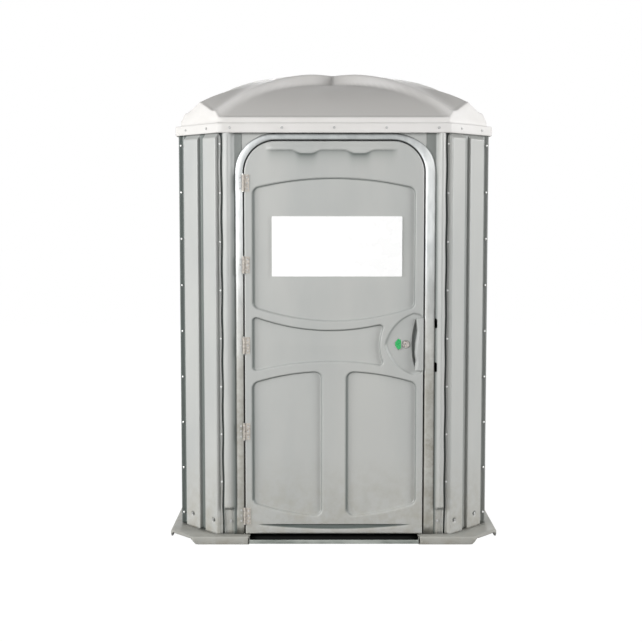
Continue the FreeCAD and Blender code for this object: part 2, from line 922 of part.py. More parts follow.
def door_frame():
    """The bright inverted-U frame: face, web through the wall, and the lip that stops the door."""
    half, top, radius = frame_opening_half, frame_top, frame_corner_radius
    face = frame_ring(half + frame_face_width, top + frame_head_width, radius + frame_head_width,
                      half, top, radius, frame_face_y, frame_face_y + frame_sheet)
    web = frame_ring(half + frame_sheet, top + frame_sheet, radius + frame_sheet,
                     half, top, radius, frame_face_y, lip_back)
    lip = frame_ring(half + frame_sheet, top + frame_sheet, radius + frame_sheet,
                     lip_half, top - frame_lip, radius - frame_lip, lip_front, lip_back)
    frame = join([face, web, lip])
    frame = drill(frame, frame_screw_spots(), screw_radius, 6)
    return drill(frame, strike_spots(), screw_radius, 6)


def door_seal():
    """The foam strip on the front of the frame's lip."""
    outer = lip_half + seal_width
    top = frame_top - frame_lip
    radius = frame_corner_radius - frame_lip
    return frame_ring(outer, top + seal_width, radius + seal_width, lip_half, top, radius,
                      lip_front - seal_thickness, lip_front)


def strike_plate():
    """The steel plate behind the lip that the latch tongue turns behind."""
    half_height = tongue_width * 2
    plate = box(lip_half - 4, frame_opening_half + frame_sheet, lip_back, lip_back + strike_thickness,
                latch_level - half_height, latch_level + half_height)
    return drill(plate, strike_spots(), screw_radius, 12)


def strike_spots():
    """Screws that hold the strike plate to the lip."""
    x = (lip_half + frame_opening_half) / 2 + 2
    return [(V(x, lip_back + strike_thickness, latch_level + side * tongue_width * 1.6), BACK)
            for side in (-1, 1)]


# Hinges

def leaf_screw_heights():
    """Screw heights on a hinge leaf, from its middle."""
    return [-hinge_height * 0.32, 0, hinge_height * 0.32]


def frame_screw_spots():
    """Hinge screws in the frame."""
    x = -(frame_opening_half + hinge_leaf_width * 0.55)
    return [(V(x, frame_face_y - hinge_leaf, z + dz), FRONT)
            for z in hinge_levels for dz in leaf_screw_heights()]


def door_screw_spots():
    """Hinge screws in the door."""
    x = -(door_half - 2 - hinge_leaf_width * 0.55)
    return [(V(x, door_front - hinge_leaf, z + dz), FRONT)
            for z in hinge_levels for dz in leaf_screw_heights()]


def knuckle_levels(level, turn):
    """The bottoms and tops of every other knuckle of one hinge."""
    pitch = hinge_height / hinge_knuckles
    bottom = level - hinge_height / 2
    return [(bottom + pitch * i + knuckle_gap / 2, bottom + pitch * (i + 1) - knuckle_gap / 2)
            for i in range(turn, hinge_knuckles, 2)]


def hinge_leaves(x0, x1, y_back, reach_x, turn, spots):
    """One leaf per hinge: a plate with knuckles round the pin."""
    leaves = []
    for level in hinge_levels:
        plate = box(x0, x1, y_back - hinge_leaf, y_back,
                    level - hinge_height / 2, level + hinge_height / 2)
        pieces = [plate]
        for z0, z1 in knuckle_levels(level, turn):
            pieces.append(rod(barrel_radius, V(axis_x, axis_y, z0), UP, z1 - z0))
            edge = sorted((axis_x, reach_x))
            pieces.append(box(edge[0], edge[1], min(y_back - hinge_leaf, axis_y), y_back, z0, z1))
        leaf = join(pieces)
        bore = rod(pin_radius + running_clearance, V(axis_x, axis_y, level - hinge_height), UP,
                   2 * hinge_height)
        leaves.append(leaf.cut(bore))
    return drill(group(leaves), spots, screw_radius, 6)


def hinge_leaves_frame():
    """The leaves on the frame."""
    inner = -(frame_opening_half + 2)
    return hinge_leaves(inner - hinge_leaf_width, inner, frame_face_y, inner, 0, frame_screw_spots())


def hinge_leaves_door():
    """The leaves on the door."""
    inner = -door_half + 2
    return hinge_leaves(inner, inner + hinge_leaf_width, door_front, inner + 1, 1, door_screw_spots())


def hinge_pins():
    """The pins, with a small head below and above."""
    pins = []
    for level in hinge_levels:
        start = V(axis_x, axis_y, level - hinge_height / 2)
        pins.append(join([rod(pin_radius, start, UP, hinge_height),
                          rod(barrel_radius * 0.9, start - UP * 2, UP, 1.8),
                          rod(pin_radius, start - UP * 2, UP, 4),
                          rod(barrel_radius * 0.9, start + UP * (hinge_height + 0.2), UP, 1.8),
                          rod(pin_radius, start + UP * (hinge_height - 1), UP, 3)]))
    return group(pins)


# Door

def field_face(points, y, radii):
    """A face in the plane y whose corners are rounded; radii pairs a radius with corner places."""
    block = upright_face(points, y).extrude(BACK)
    for radius, places in radii:
        edges = [edge for edge in block.Edges if along(edge, BACK) and near(edge, places)]
        block = block.makeFillet(radius, edges)
    return [face for face in block.Faces if abs(face.CenterOfMass.y - y) < 1e-6][0]


def near(edge, places):
    """True if an edge along y stands on one of the (x, z) places."""
    point = edge.Vertexes[0].Point
    return any(math.hypot(point.x - x, point.z - z) < 0.01 for x, z in places)


def door_fields():
    """The faces of the four recessed fields of the outer skin, in its front plane."""
    side = door_half - stile
    mean_foot = (upper_foot + upper_shoulder) / 2
    upper_corners = [(-side, upper_foot), (side, upper_foot), (side, upper_shoulder),
                     (-side, upper_shoulder)]
    upper = [upper_corners[0], ((0, upper_foot - upper_sag), upper_corners[1]), (side, mean_foot),
             upper_corners[2], ((0, upper_shoulder + upper_rise), upper_corners[3])]
    waist = ((middle_right - middle_waist, latch_level), (middle_right, middle_top_right))
    middle_corners = [(-side, middle_bottom_left), (middle_right, middle_bottom_right),
                      (middle_right, middle_top_right), (-side, middle_top_left)]
    middle_x = (middle_right - side) / 2
    middle_low = (middle_bottom_left + middle_bottom_right) / 2 + middle_bottom_bulge
    middle = [middle_corners[0], ((middle_x, middle_low), middle_corners[1]), waist,
              ((middle_x, middle_top_centre + 4), middle_corners[3])]
    faces = [field_face(upper, door_front, [(pocket_radius, upper_corners)]),
             field_face(middle, door_front, [(pocket_outer_radius, middle_corners[::3])])]
    for sign in (-1, 1):
        outer, inner = sign * side, sign * lower_stile_half
        middle_x = (outer + inner) / 2
        bottom = ((middle_x, (lower_bottom_outer + lower_bottom_inner) / 2 - lower_bulge),
                  (inner, lower_bottom_inner))
        top = ((middle_x, (lower_top_outer + lower_top_inner) / 2 + lower_bulge),
               (outer, lower_top_outer))
        points = [(outer, lower_bottom_outer), bottom, (inner, lower_top_inner), top]
        radii = [(pocket_radius, [(inner, lower_bottom_inner), (inner, lower_top_inner)]),
                 (pocket_outer_radius, [(outer, lower_bottom_outer), (outer, lower_top_outer)])]
        faces.append(field_face(points, door_front, radii))
    return faces


def foot_groove_face():
    """The crescent groove low on the outer skin."""
    ends = [(-foot_groove_half, foot_groove_top), (foot_groove_half, foot_groove_top)]
    points = [ends[0], ((0, foot_groove_top - foot_groove_sag), ends[1])]
    return upright_face(points, door_front)


def raised(face, grow, y0, y1):
    """A block over a face in the door's front plane, grown sideways, between two planes of y."""
    shape = face.makeOffset2D(grow) if grow else face.copy()
    shape.translate(V(0, y0 - door_front, 0))
    return shape.extrude(V(0, y1 - y0, 0))


def pod_face():
    """The outline of the handle pod, in the door's front plane."""
    points = [(pod_right, pod_bottom), (pod_right, pod_top),
              (pod_shoulder_x, latch_level + pod_shoulder_rise),
              ((pod_left, latch_level), (pod_shoulder_x, latch_level - pod_shoulder_rise))]
    return upright_face(points, door_front)


def cup_face():
    """The crescent outline of the finger cup."""
    tips = [(cup_tip_x, pull_bottom + cup_margin), (cup_tip_x, pull_top - cup_margin)]
    middle = (pull_bottom + pull_top) / 2
    points = [tips[0], ((cup_right, middle), tips[1]), ((cup_left, middle), tips[0])]
    edges = []
    here = points[0]
    for through, end in points[1:]:
        ends = [V(x, door_front, z) for x, z in (here, through, end)]
        edges.append(Part.Arc(*ends).toShape())
        here = end
    return Part.Face(Part.Wire(edges))


def window_face(shrink):
    """The six-sided window outline beside the spindle, in the door's front plane."""
    w, h = window_half_width - shrink, window_half_height - shrink
    x = spindle_x - window_offset
    corners = [(w, h * 0.75), (0, h), (-w, h * 0.32), (-w, -h * 0.32), (0, -h), (w, -h * 0.75)]
    return upright_face([(x + dx, latch_level + dz) for dx, dz in corners], door_front)


def door_outer_skin():
    """The formed front skin of the door with its recessed fields and rim."""
    skin = arch_block(door_half, door_bottom, door_top, door_corner_radius, door_front, skin_joint)
    hollow = arch_block(door_half - door_rim, door_bottom + door_rim, door_top - door_rim,
                        door_corner_radius - door_rim, door_front + door_skin, skin_joint + 1)
    cuts = []
    for face, depth in [(f, pocket_depth) for f in door_fields()] + [(foot_groove_face(),
                                                                     foot_groove_depth)]:
        wall = raised(face, door_skin, door_front, door_front + depth + door_skin)
        hollow = hollow.cut(wall)
        cuts.append(raised(face, 0, door_front - 1, door_front + depth))
    cuts.append(raised(pod_face(), pod_clearance, door_front - 1, door_front + door_skin + 1))
    skin = skin.cut(hollow).cut(cuts)
    skin = drill(skin, door_screw_spots(), screw_radius, 10)
    return drill(skin, pull_screw_spots(), screw_radius, 12)


def door_inner_skin():
    """The plain inner skin of the door."""
    skin = arch_block(door_half, door_bottom, door_top, door_corner_radius, skin_joint, door_back)
    hollow = arch_block(door_half - door_rim, door_bottom + door_rim, door_top - door_rim,
                        door_corner_radius - door_rim, skin_joint - 1, door_back - door_skin)
    skin = skin.cut(hollow)
    skin = drill(skin, inner_pull_spots() + latch_plate_spots(), screw_radius, 10)
    return skin.cut(spindle_hole())


def spindle_hole():
    """The running hole for the latch spindle."""
    return rod(spindle_radius + running_clearance, V(spindle_x, -base_half, latch_level), BACK, 200)


def handle_pod():
    """The dished pod with the window, the spindle hole and the finger cup."""
    outline = pod_face()
    back = pod_front + door_skin
    plate = raised(outline, 0, door_front, back)
    dish = raised(outline, -pod_rim, door_front - 1, pod_front)
    flange = raised(outline, pod_flange, door_front + door_skin, door_front + door_skin + 3)
    cup = raised(cup_face(), cup_wall, pod_front, pod_front + cup_depth + cup_wall)
    hollow = raised(cup_face(), 0, door_front - 1, pod_front + cup_depth)
    window = raised(window_face(0), 0, door_front - 1, back + 1)
    pod = join([plate, flange]).cut(dish).fuse(cup).cut([hollow, window, spindle_hole()])
    return drill(pod, pull_screw_spots(), small_head_radius + seat_gap, cup_depth)


def door_pull():
    """The bulged grip along the door edge, beside the finger cup."""
    left = cup_right + 1
    right = left + pull_width
    middle = (pull_bottom + pull_top) / 2
    face = [V(left, door_front, pull_bottom), V(left, door_front - pull_proud * 0.8, pull_bottom),
            V(left, door_front - pull_proud, middle), V(left, door_front, pull_top)]
    curve = Part.Arc(face[1], face[2], face[3]).toShape()
    profile = Part.Wire([Part.makeLine(face[0], face[1]), curve, Part.makeLine(face[3], face[0])])
    grip = Part.Face(profile).extrude(V(right - left, 0, 0))
    return drill(grip, pull_screw_spots(), screw_radius, 8)


def pull_screw_spots():
    """Screws from behind the skin into the grip."""
    x = cup_right + 1 + pull_width * 0.45
    third = (pull_top - pull_bottom) / 4
    return [(V(x, door_front + door_skin, pull_bottom + third * i), BACK) for i in (1, 2)]


def sign_plate():
    """The blank plate in the upper field."""
    face_y = door_front + pocket_depth
    half_w, half_h = sign_width / 2, sign_height / 2
    plate = box(sign_centre_x - half_w, sign_centre_x + half_w, face_y - sign_thickness, face_y,
                sign_centre_z - half_h, sign_centre_z + half_h)
    return rounded(plate, 4, BACK)


# Latch

def indicator_window():
    """The clear window over the indicator flag."""
    return raised(window_face(0.1), 0, pod_front + 0.4, pod_front + 0.4 + window_thickness)


def latch_spindle():
    """The shaft of the latch, from the coin disc to the inner lever."""
    start = pod_front - 0.3
    end = tongue_back() + lever_thickness
    return rod(spindle_radius, V(spindle_x, start, latch_level), BACK, end - start)


def tongue_back():
    """The inner face of the latch tongue."""
    return lip_back + strike_thickness + tongue_gap + tongue_thickness


def coin_disc():
    """The round disc outside, with a slot for a coin."""
    centre = V(spindle_x, pod_front - 0.3, latch_level)
    disc = rod(coin_disc_radius, centre, FRONT, coin_disc_thickness)
    disc = disc.makeChamfer(0.8, [disc.Edges[0]])
    slot = box(-coin_disc_radius * 0.75, coin_disc_radius * 0.75, -coin_disc_thickness * 0.6,
               coin_disc_thickness, -1.2, 1.2)
    slot.translate(centre + FRONT * coin_disc_thickness)
    return disc.cut(slot)


def indicator_flag():
    """The two-field flag behind the window, a quarter turn apart on one hub."""
    front = pod_front + door_skin + flag_gap
    near_edge, far_edge = window_offset - window_half_width - 3, window_offset + window_half_width + 2
    half = window_half_height + 0.5
    field = box(-far_edge, -near_edge, front, front + flag_thickness, -half, half)
    arm = box(-near_edge - 1, 0, front, front + flag_thickness, -spindle_radius, spindle_radius)
    pieces = []
    for turn in (0, 90):
        for piece in (field, arm):
            copy = piece.copy()
            copy.rotate(V(0, 0, 0), FRONT, turn)
            pieces.append(copy)
    pieces.append(rod(spindle_radius * 2, V(0, front, 0), BACK, flag_thickness))
    flag = join(pieces)
    flag.translate(V(spindle_x, 0, latch_level))
    return flag.cut(rod(spindle_radius, V(spindle_x, front - 1, latch_level), BACK, 5))


def latch_tongue():
    """The tongue that turns behind the strike plate; it points up when the cabin is free."""
    back = tongue_back()
    front = back - tongue_thickness
    half = tongue_width / 2
    reach = tongue_length - half
    arm = box(-half, half, front, back, 0, reach)
    tip = rod(half, V(0, front, reach), BACK, tongue_thickness)
    hub_front = door_back + latch_plate_thickness + 0.3
    hub = rod(half, V(0, hub_front, 0), BACK, back - hub_front)
    tongue = join([arm, tip, hub])
    tongue.translate(V(spindle_x, 0, latch_level))
    return tongue.cut(rod(spindle_radius, V(spindle_x, hub_front - 1, latch_level), BACK, 60))


def latch_lever():
    """The thumb lever inside the cabin."""
    front = tongue_back()
    half = lever_length / 2
    width = spindle_radius * 1.8
    hub = rod(width * 1.6, V(0, front, 0), BACK, lever_thickness)
    blade = box(-width, width, front, front + lever_thickness, -half, half)
    blade = rounded(blade, width * 0.9, BACK)
    lever = join([hub, blade])
    lever.translate(V(spindle_x, 0, latch_level))
    return lever.cut(rod(spindle_radius, V(spindle_x, front - 1, latch_level), BACK, 60))


def latch_plate():
    """The cover plate on the inner skin round the spindle."""
    plate = box(spindle_x - latch_plate_half_width, spindle_x + latch_plate_half_width, door_back,
                door_back + latch_plate_thickness, latch_level - latch_plate_half_height,
                latch_level + latch_plate_half_height)
    plate = rounded(plate, 6, BACK)
    return drill(plate, latch_plate_spots(), screw_radius, 10).cut(spindle_hole())


def latch_plate_spots():
    """Screws of the cover plate."""
    reach = latch_plate_half_height - 12
    return [(V(spindle_x, door_back + latch_plate_thickness, latch_level + side * reach), BACK)
            for side in (-1, 1)]


def bow(points, radius, wall=0.0):
    """A bent round bar through four points, with two rounded corners; hollow if it has a wall."""
    a, b, c, d = points
    bend = bar_bend if wall else radius * 2
    first, second, third = unit(b - a), unit(c - b), unit(d - c)
    mid = math.sqrt(0.5) * bend
    edges = [Part.makeLine(a, b - first * bend),
             Part.Arc(b - first * bend, b - first * bend + first * mid + second * (bend - mid),
                      b + second * bend).toShape(),
             Part.makeLine(b + second * bend, c - second * bend),
             Part.Arc(c - second * bend, c - second * bend + second * mid + third * (bend - mid),
                      c + third * bend).toShape(),
             Part.makeLine(c + third * bend, d)]
    path = Part.Wire(edges)
    return swept(path, radius, a, first), (swept(path, radius - wall, a, first) if wall else None)


def unit(vector):
    """The direction of a vector."""
    return V(vector) / vector.Length


def swept(path, radius, start, direction):
    """A round section carried along a path."""
    section = Part.Wire([Part.makeCircle(radius, start, direction)])
    pipe = Part.BRepOffsetAPI.MakePipeShell(path)
    pipe.add(section)
    pipe.build()
    pipe.makeSolid()
    return pipe.shape()


def inner_pull():
    """The bow handle on the inner skin."""
    x, y = inner_pull_x, door_back
    ends = [V(x, y, inner_pull_bottom), V(x, y, inner_pull_top)]
    out = BACK * inner_pull_reach
    bar, _ = bow([ends[0], ends[0] + out, ends[1] + out, ends[1]], inner_pull_radius)
    feet = [rod(inner_pull_radius * 1.9, end, BACK, 4) for end in ends]
    return drill(join([bar] + feet), inner_pull_spots(), screw_radius, 12)


def inner_pull_spots():
    """Screws from inside the door into the feet of the bow handle."""
    return [(V(inner_pull_x, door_back - door_skin, z), FRONT)
            for z in (inner_pull_bottom, inner_pull_top)]


# Roof

def mirrored_curve(half, height_at, steps):
    """A smooth curve of (s, z) points over -half to half, symmetric about zero."""
    shares = [math.sin(math.pi / 2 * i / steps) for i in range(steps + 1)]
    right = [(half * share, height_at(share)) for share in shares]
    return [(-s, z) for s, z in reversed(right[1:])] + right


def dome(inset):
    """The solid under the dome, inset inside its outer surface."""
    half = dome_half - inset
    floor = rim_top - 2 * riser_drop
    places = mirrored_curve(half, lambda share: facet_apex - inset - facet_drop * share ** facet_power, 6)
    top = Part.BSplineCurve()
    top.interpolate([V(0, s, z) for s, z in places])
    ends = [V(0, half, floor), V(0, -half, floor)]
    start, end = V(0, places[0][0], places[0][1]), V(0, places[-1][0], places[-1][1])
    profile = Part.Wire([top.toShape(), Part.makeLine(end, ends[0]), Part.makeLine(ends[0], ends[1]),
                         Part.makeLine(ends[1], start)])
    barrel = Part.Face(profile).extrude(V(2 * half, 0, 0))
    barrel.translate(V(-half, 0, 0))
    outline = slab(half, inner_corner(dome_corner, inset), rim_top - roof_wall, cabin_height + 1)
    corners = [V(0, 0, floor - 1), V(dome_half, -dome_half, floor - 1), V(-dome_half, -dome_half, floor - 1)]
    wedge = Part.Face(Part.makePolygon(corners + corners[:1])).extrude(UP * cabin_height)
    field = barrel.common(wedge).common(outline)
    body = hip(inset, floor, 45).common(outline).fuse(hip(inset, floor, -45).common(outline))
    for turn in (0, 90, 180, 270):
        copy = field.copy()
        copy.rotate(V(0, 0, 0), UP, turn)
        body = body.fuse(copy)
    return body.removeSplitter()


def hip(inset, floor, turn):
    """One raised band from corner to corner, with sloped sides."""
    radius = hip_radius - inset
    reach = dome_half * ROOT2
    wires = []
    for offset, drop in ((-1, riser_drop), (-1, 0), (1, 0), (1, riser_drop)):
        y = offset * (hip_half_width - inset * 0.6 + (riser_run if drop else 0))
        rise = math.sqrt(radius ** 2 - reach ** 2)
        end_z = hip_centre_z + rise - drop
        ends = [V(-reach, y, end_z), V(0, y, hip_centre_z + radius - drop), V(reach, y, end_z)]
        arc = Part.Arc(*ends).toShape()
        wires.append(Part.Wire([arc, Part.makeLine(ends[2], V(reach, y, floor)),
                                Part.makeLine(V(reach, y, floor), V(-reach, y, floor)),
                                Part.makeLine(V(-reach, y, floor), ends[0])]))
    band = Part.makeLoft(wires, True, True)
    band.rotate(V(0, 0, 0), UP, turn)
    return band


def roof_shell():
    """Rim, shelf that rests on the walls, and dome, as one hollow shell."""
    rim = slab(rim_half, rim_corner, rim_bottom, rim_top)
    hollow = slab(rim_half - roof_wall, inner_corner(rim_corner, roof_wall),
                  rim_bottom + roof_wall, rim_top - roof_wall)
    mouth = wall_slab(jamb_recess - seat_gap, rim_bottom - 1, rim_bottom + roof_wall + 1)
    shelf_corner = inner_corner(dome_corner, dome_half - shelf_half)
    shelf = slab(shelf_half, shelf_corner, rim_top - roof_wall - 1, rim_top + 1)
    shell = dome(0).cut(dome(dome_thickness))
    lid = rim.cut([hollow, mouth, shelf]).fuse(shell)
    under = slab(shelf_half, shelf_corner, rim_top - 2 * roof_wall, rim_top + 0.5)
    lid = lid.cut(under)
    lid = lid.cut(rod(vent_radius + vent_bore_gap, V(vent_x, vent_y, rim_bottom), UP, cabin_height))
    return drill(lid, rim_spots(), screw_radius, 10)


# Toilet

def tank_outline(inset, z):
    """The tank's plan: a box with its rear right corner cut along the cabin's corner."""
    left, right = tank_left + inset, tank_right - inset
    front, back = tank_front + inset, wall_inner - tank_rear_gap - inset
    reach = 2 * wall_half - wall_corner - (curb_inset + curb_thickness + tank_rear_gap) * ROOT2
    reach -= inset * ROOT2
    places = [(left, front), (right, front), (right, reach - right), (reach - back, back), (left, back)]
    points = [V(x, y, z) for x, y in places]
    return Part.Face(Part.makePolygon(points + points[:1]))


def waste_tank():
    """The holding tank that the seat stands on, with screw lugs at its foot."""
    foot = floor_top + wall_foot_gap
    tank = tank_outline(0, foot).extrude(V(0, 0, tank_top - foot))
    tank = rounded(tank, tank_edge_radius, UP)
    hollow = tank_outline(tank_wall, foot + tank_wall).extrude(V(0, 0, tank_top - foot - 2 * tank_wall))
    hollow = rounded(hollow, tank_edge_radius - tank_wall, UP)
    mouth = oval(seat_hole_half_width + 6, seat_hole_half_length + 6, tank_top - 30, 60)
    lugs = []
    for point, _ in tank_screw_spots():
        half = tank_lug / 2
        lugs.append(box(point.x - half, point.x + half, point.y - half, point.y + half,
                        foot, foot + base_wall))
    vent = rod(vent_radius + 0.2, V(vent_x, vent_y, tank_top - 30), UP, 60)
    seat_pins = [rod(screw_radius, V(x, seat_axis_y, tank_top - 30), UP, 60) for x in seat_post_places()]
    tank = tank.fuse(lugs).cut([hollow, mouth, vent] + seat_pins)
    return drill(tank, tank_screw_spots(), screw_radius, 14)


def tank_screw_spots():
    """Screws through the tank lugs into the floor."""
    top = floor_top + wall_foot_gap + base_wall
    quarter = (tank_right - tank_left) / 4
    reach = tank_lug * 0.45
    places = [(tank_left + quarter, tank_front - reach), (tank_right - quarter, tank_front - reach),
              (tank_left - reach, tank_front + quarter), (tank_left - reach, tank_front + 3 * quarter)]
    return [(V(x, y, top), UP) for x, y in places]


def oval(half_x, half_y, z0, height):
    """An upright oval block round the middle of the seat."""
    curve = Part.Ellipse(V(0, 0, 0), max(half_x, half_y), min(half_x, half_y)).toShape()
    block = Part.Face(Part.Wire([curve])).extrude(V(0, 0, height))
    if half_y > half_x:
        block.rotate(V(0, 0, 0), UP, 90)
    block.translate(V(toilet_x, seat_centre_y, z0))
    return block


def toilet_seat():
    """The open-front seat ring with bumpers and the hinge barrel."""
    bottom = tank_top + seat_bumper + 0.3
    ring = oval(seat_half_width, seat_half_length, bottom, seat_thickness)
    rear = box(toilet_x - seat_barrel_half * 0.9, toilet_x + seat_barrel_half * 0.9,
               seat_centre_y, seat_axis_y, bottom, bottom + seat_thickness * 0.8)
    barrel_z = seat_axis_z()
    barrel = rod(seat_barrel_radius, V(toilet_x - seat_barrel_half, seat_axis_y, barrel_z), RIGHT,
                 2 * seat_barrel_half)
    hole = oval(seat_hole_half_width, seat_hole_half_length, bottom - 10, seat_thickness + 20)
    half = seat_mouth / 2
    mouth = box(toilet_x - half, toilet_x + half, tank_front - 100, seat_centre_y - 40,
                bottom - 10, bottom + seat_thickness + 10)
    ring = join([ring, rear, barrel]).cut([hole, mouth])
    pads = []
    for sx in (-1, 1):
        for sy in (-1, 1):
            spot = V(toilet_x + sx * seat_half_width * 0.7, seat_centre_y + sy * seat_half_length * 0.5,
                     bottom - seat_bumper)
            pads.append(rod(10, spot, UP, seat_bumper + 1))
    bore = rod(seat_pin_radius + running_clearance, V(toilet_x - 200, seat_axis_y, barrel_z), RIGHT, 400)
    return ring.fuse(pads).cut(bore).removeSplitter()


def seat_axis_z():
    """The height of the seat hinge."""
    return tank_top + seat_barrel_radius + 4


def seat_post_places():
    """The middles of the two hinge posts, along x."""
    reach = seat_barrel_half + 0.5 + seat_post_width / 2
    return (toilet_x - reach, toilet_x + reach)


def seat_posts():
    """The two posts of the seat hinge, each with its fixing stud through the tank top."""
    posts = []
    for x in seat_post_places():
        half = seat_post_width / 2
        block = box(x - half, x + half, seat_axis_y - 16, seat_axis_y + 16, tank_top,
                    seat_axis_z() + seat_barrel_radius)
        block = block.fuse(rod(screw_radius, V(x, seat_axis_y, tank_top - 20), UP, 22))
        bore = rod(seat_pin_radius, V(x - 20, seat_axis_y, seat_axis_z()), RIGHT, 40)
        posts.append(block.cut(bore).removeSplitter())
    return group(posts)


def seat_pins():
    """The two pins of the seat hinge."""
    length = seat_post_width + 30
    left, right = seat_post_places()
    half = seat_post_width / 2
    return group([rod(seat_pin_radius, V(left - half, seat_axis_y, seat_axis_z()), RIGHT, length),
                  rod(seat_pin_radius, V(right + half - length, seat_axis_y, seat_axis_z()), RIGHT, length)])


def vent_pipe():
    """The vent pipe from the tank through the roof."""
    start = V(vent_x, vent_y, vent_pipe_bottom)
    length = vent_pipe_top - vent_pipe_bottom
    return rod(vent_radius, start, UP, length).cut(rod(vent_radius - vent_wall, start, UP, length))


def vent_collar():
    """The rubber collar that seals the pipe to the roof."""
    outer = rod(vent_radius + vent_collar_width, V(vent_x, vent_y, rim_top), UP,
                vent_pipe_top - vent_collar_drop - rim_top)
    return outer.cut([dome(0), rod(vent_radius, V(vent_x, vent_y, rim_bottom), UP, cabin_height)])


def vent_cap():
    """The rain cap on three fins that sit inside the pipe."""
    top = vent_pipe_top + vent_cap_gap
    foot = vent_pipe_top - vent_fin_depth
    disc = Part.makeCone(vent_cap_radius, vent_radius * 0.6, vent_cap_height, V(vent_x, vent_y, top))
    skirt = rod(vent_cap_radius, V(vent_x, vent_y, top - vent_skirt), UP, vent_skirt)
    skirt = skirt.cut(rod(vent_cap_radius - vent_wall, V(vent_x, vent_y, top - vent_skirt - 1), UP,
                          vent_skirt + 1))
    fins = []
    for i in range(3):
        fin = box(0, vent_radius - vent_wall, -vent_wall / 2, vent_wall / 2, foot, top + 1)
        fin.rotate(V(0, 0, 0), UP, 120 * i)
        fin.translate(V(vent_x, vent_y, 0))
        fins.append(fin)
    return join([disc, skirt] + fins)


# Fittings on the walls

def grab_bar(start, run, length, out):
    """A hollow grab bar between two flanges on a wall; out points off the wall."""
    far = start + run * length
    reach = out * bar_standoff
    solid, bore = bow([start, start + reach, far + reach, far], bar_radius, bar_wall)
    flanges = [rod(bar_flange_radius, end, out, bar_flange_thickness) for end in (start, far)]
    return join([solid] + flanges).cut(bore)


def flange_spots(start, run, length, out):
    """Two screws in each flange, above and below the bar."""
    reach = (bar_radius + bar_flange_radius) / 2
    return [(end + UP * side * reach + out * bar_flange_thickness, out)
            for end in (start, start + run * length) for side in (-1, 1)]


def side_bar_place():
    """Where the grab bar on the right wall starts, its run, length and outward side."""
    return V(wall_inner, groove_middles()[0], bar_level), BACK, side_bar_ribs * wall_pitch, LEFT


def rear_bar_place():
    """Where the grab bar on the back wall starts, its run, length and outward side."""
    return V(groove_middles()[2], wall_inner, bar_level), RIGHT, rear_bar_ribs * wall_pitch, FRONT


def side_bar_spots():
    """Screws of the side grab bar."""
    return flange_spots(*side_bar_place())


def rear_bar_spots():
    """Screws of the rear grab bar."""
    return flange_spots(*rear_bar_place())


def grab_bar_side():
    """The long grab bar on the right wall."""
    return drill(grab_bar(*side_bar_place()), side_bar_spots(), screw_radius, 10)


def grab_bar_rear():
    """The grab bar on the back wall."""
    return drill(grab_bar(*rear_bar_place()), rear_bar_spots(), screw_radius, 10)


def paper_holder():
    """The bracket of the paper holder: back plate and two cheeks."""
    half = roll_width + paper_end_gap
    plate = box(wall_inner - paper_bracket, wall_inner, -half, half,
                paper_level - paper_plate_half, paper_level + paper_plate_half)
    cheeks = []
    for side in (-1, 1):
        y = sorted((side * half, side * (half - paper_bracket)))
        cheeks.append(box(wall_inner - paper_reach - paper_cheek_half, wall_inner, y[0], y[1],
                          paper_level - paper_cheek_half, paper_level + paper_cheek_half))
    bracket = join([plate] + cheeks)
    hole = rod(paper_rod_radius, V(wall_inner - paper_reach, -2 * half, paper_level), BACK, 4 * half)
    return drill(bracket.cut(hole), paper_holder_spots(), screw_radius, 10)


def paper_holder_spots():
    """Screws of the paper holder."""
    level = paper_level + (paper_plate_half + paper_cheek_half) / 2
    return [(V(wall_inner - paper_bracket, side * wall_pitch / 2, level), LEFT) for side in (-1, 1)]


def paper_spindle():
    """The spindle through both rolls."""
    half = roll_width + paper_end_gap
    ends = half + paper_bracket
    axis = V(wall_inner - paper_reach, -ends, paper_level)
    inside = half - paper_bracket - 1
    core = rod(roll_core_radius - roll_play, V(axis.x, -inside, axis.z), BACK, 2 * inside)
    return join([rod(paper_rod_radius, axis, BACK, 2 * ends), core])


def paper_roll(side):
    """One roll, on the near (-1) or far (1) half of the spindle."""
    y0 = roll_gap if side > 0 else -roll_gap - roll_width
    axis = V(wall_inner - paper_reach, y0, paper_level)
    return rod(roll_radius, axis, BACK, roll_width).cut(rod(roll_core_radius, axis, BACK, roll_width))


def coat_hook():
    """A two-pronged hook on the left wall."""
    wall = -wall_inner
    y = groove_middles()[1]
    half = groove_width / 2 - 1
    pieces = [box(wall, wall + hook_plate, y - half, y + half,
                  hook_level - hook_plate_half, hook_level + hook_plate_half)]
    for reach, base, rise in ((hook_reach, hook_level, hook_rise),
                              (hook_reach / 2, hook_level - hook_rise, hook_rise / 2)):
        pieces.append(rod(hook_rod_radius, V(wall, y, base), RIGHT, reach))
        pieces.append(rod(hook_rod_radius, V(wall + reach, y, base), UP, rise))
        pieces.append(Part.makeSphere(hook_rod_radius, V(wall + reach, y, base)))
        pieces.append(Part.makeSphere(hook_ball_radius, V(wall + reach, y, base + rise)))
    return drill(join(pieces), hook_spots(), screw_radius, 10)


def hook_spots():
    """Screws of the coat hook."""
    reach = hook_plate_half - screw_head_radius
    return [(V(-wall_inner + hook_plate, groove_middles()[1], hook_level + side * reach), RIGHT)
            for side in (-1, 1)]


# Every node by name

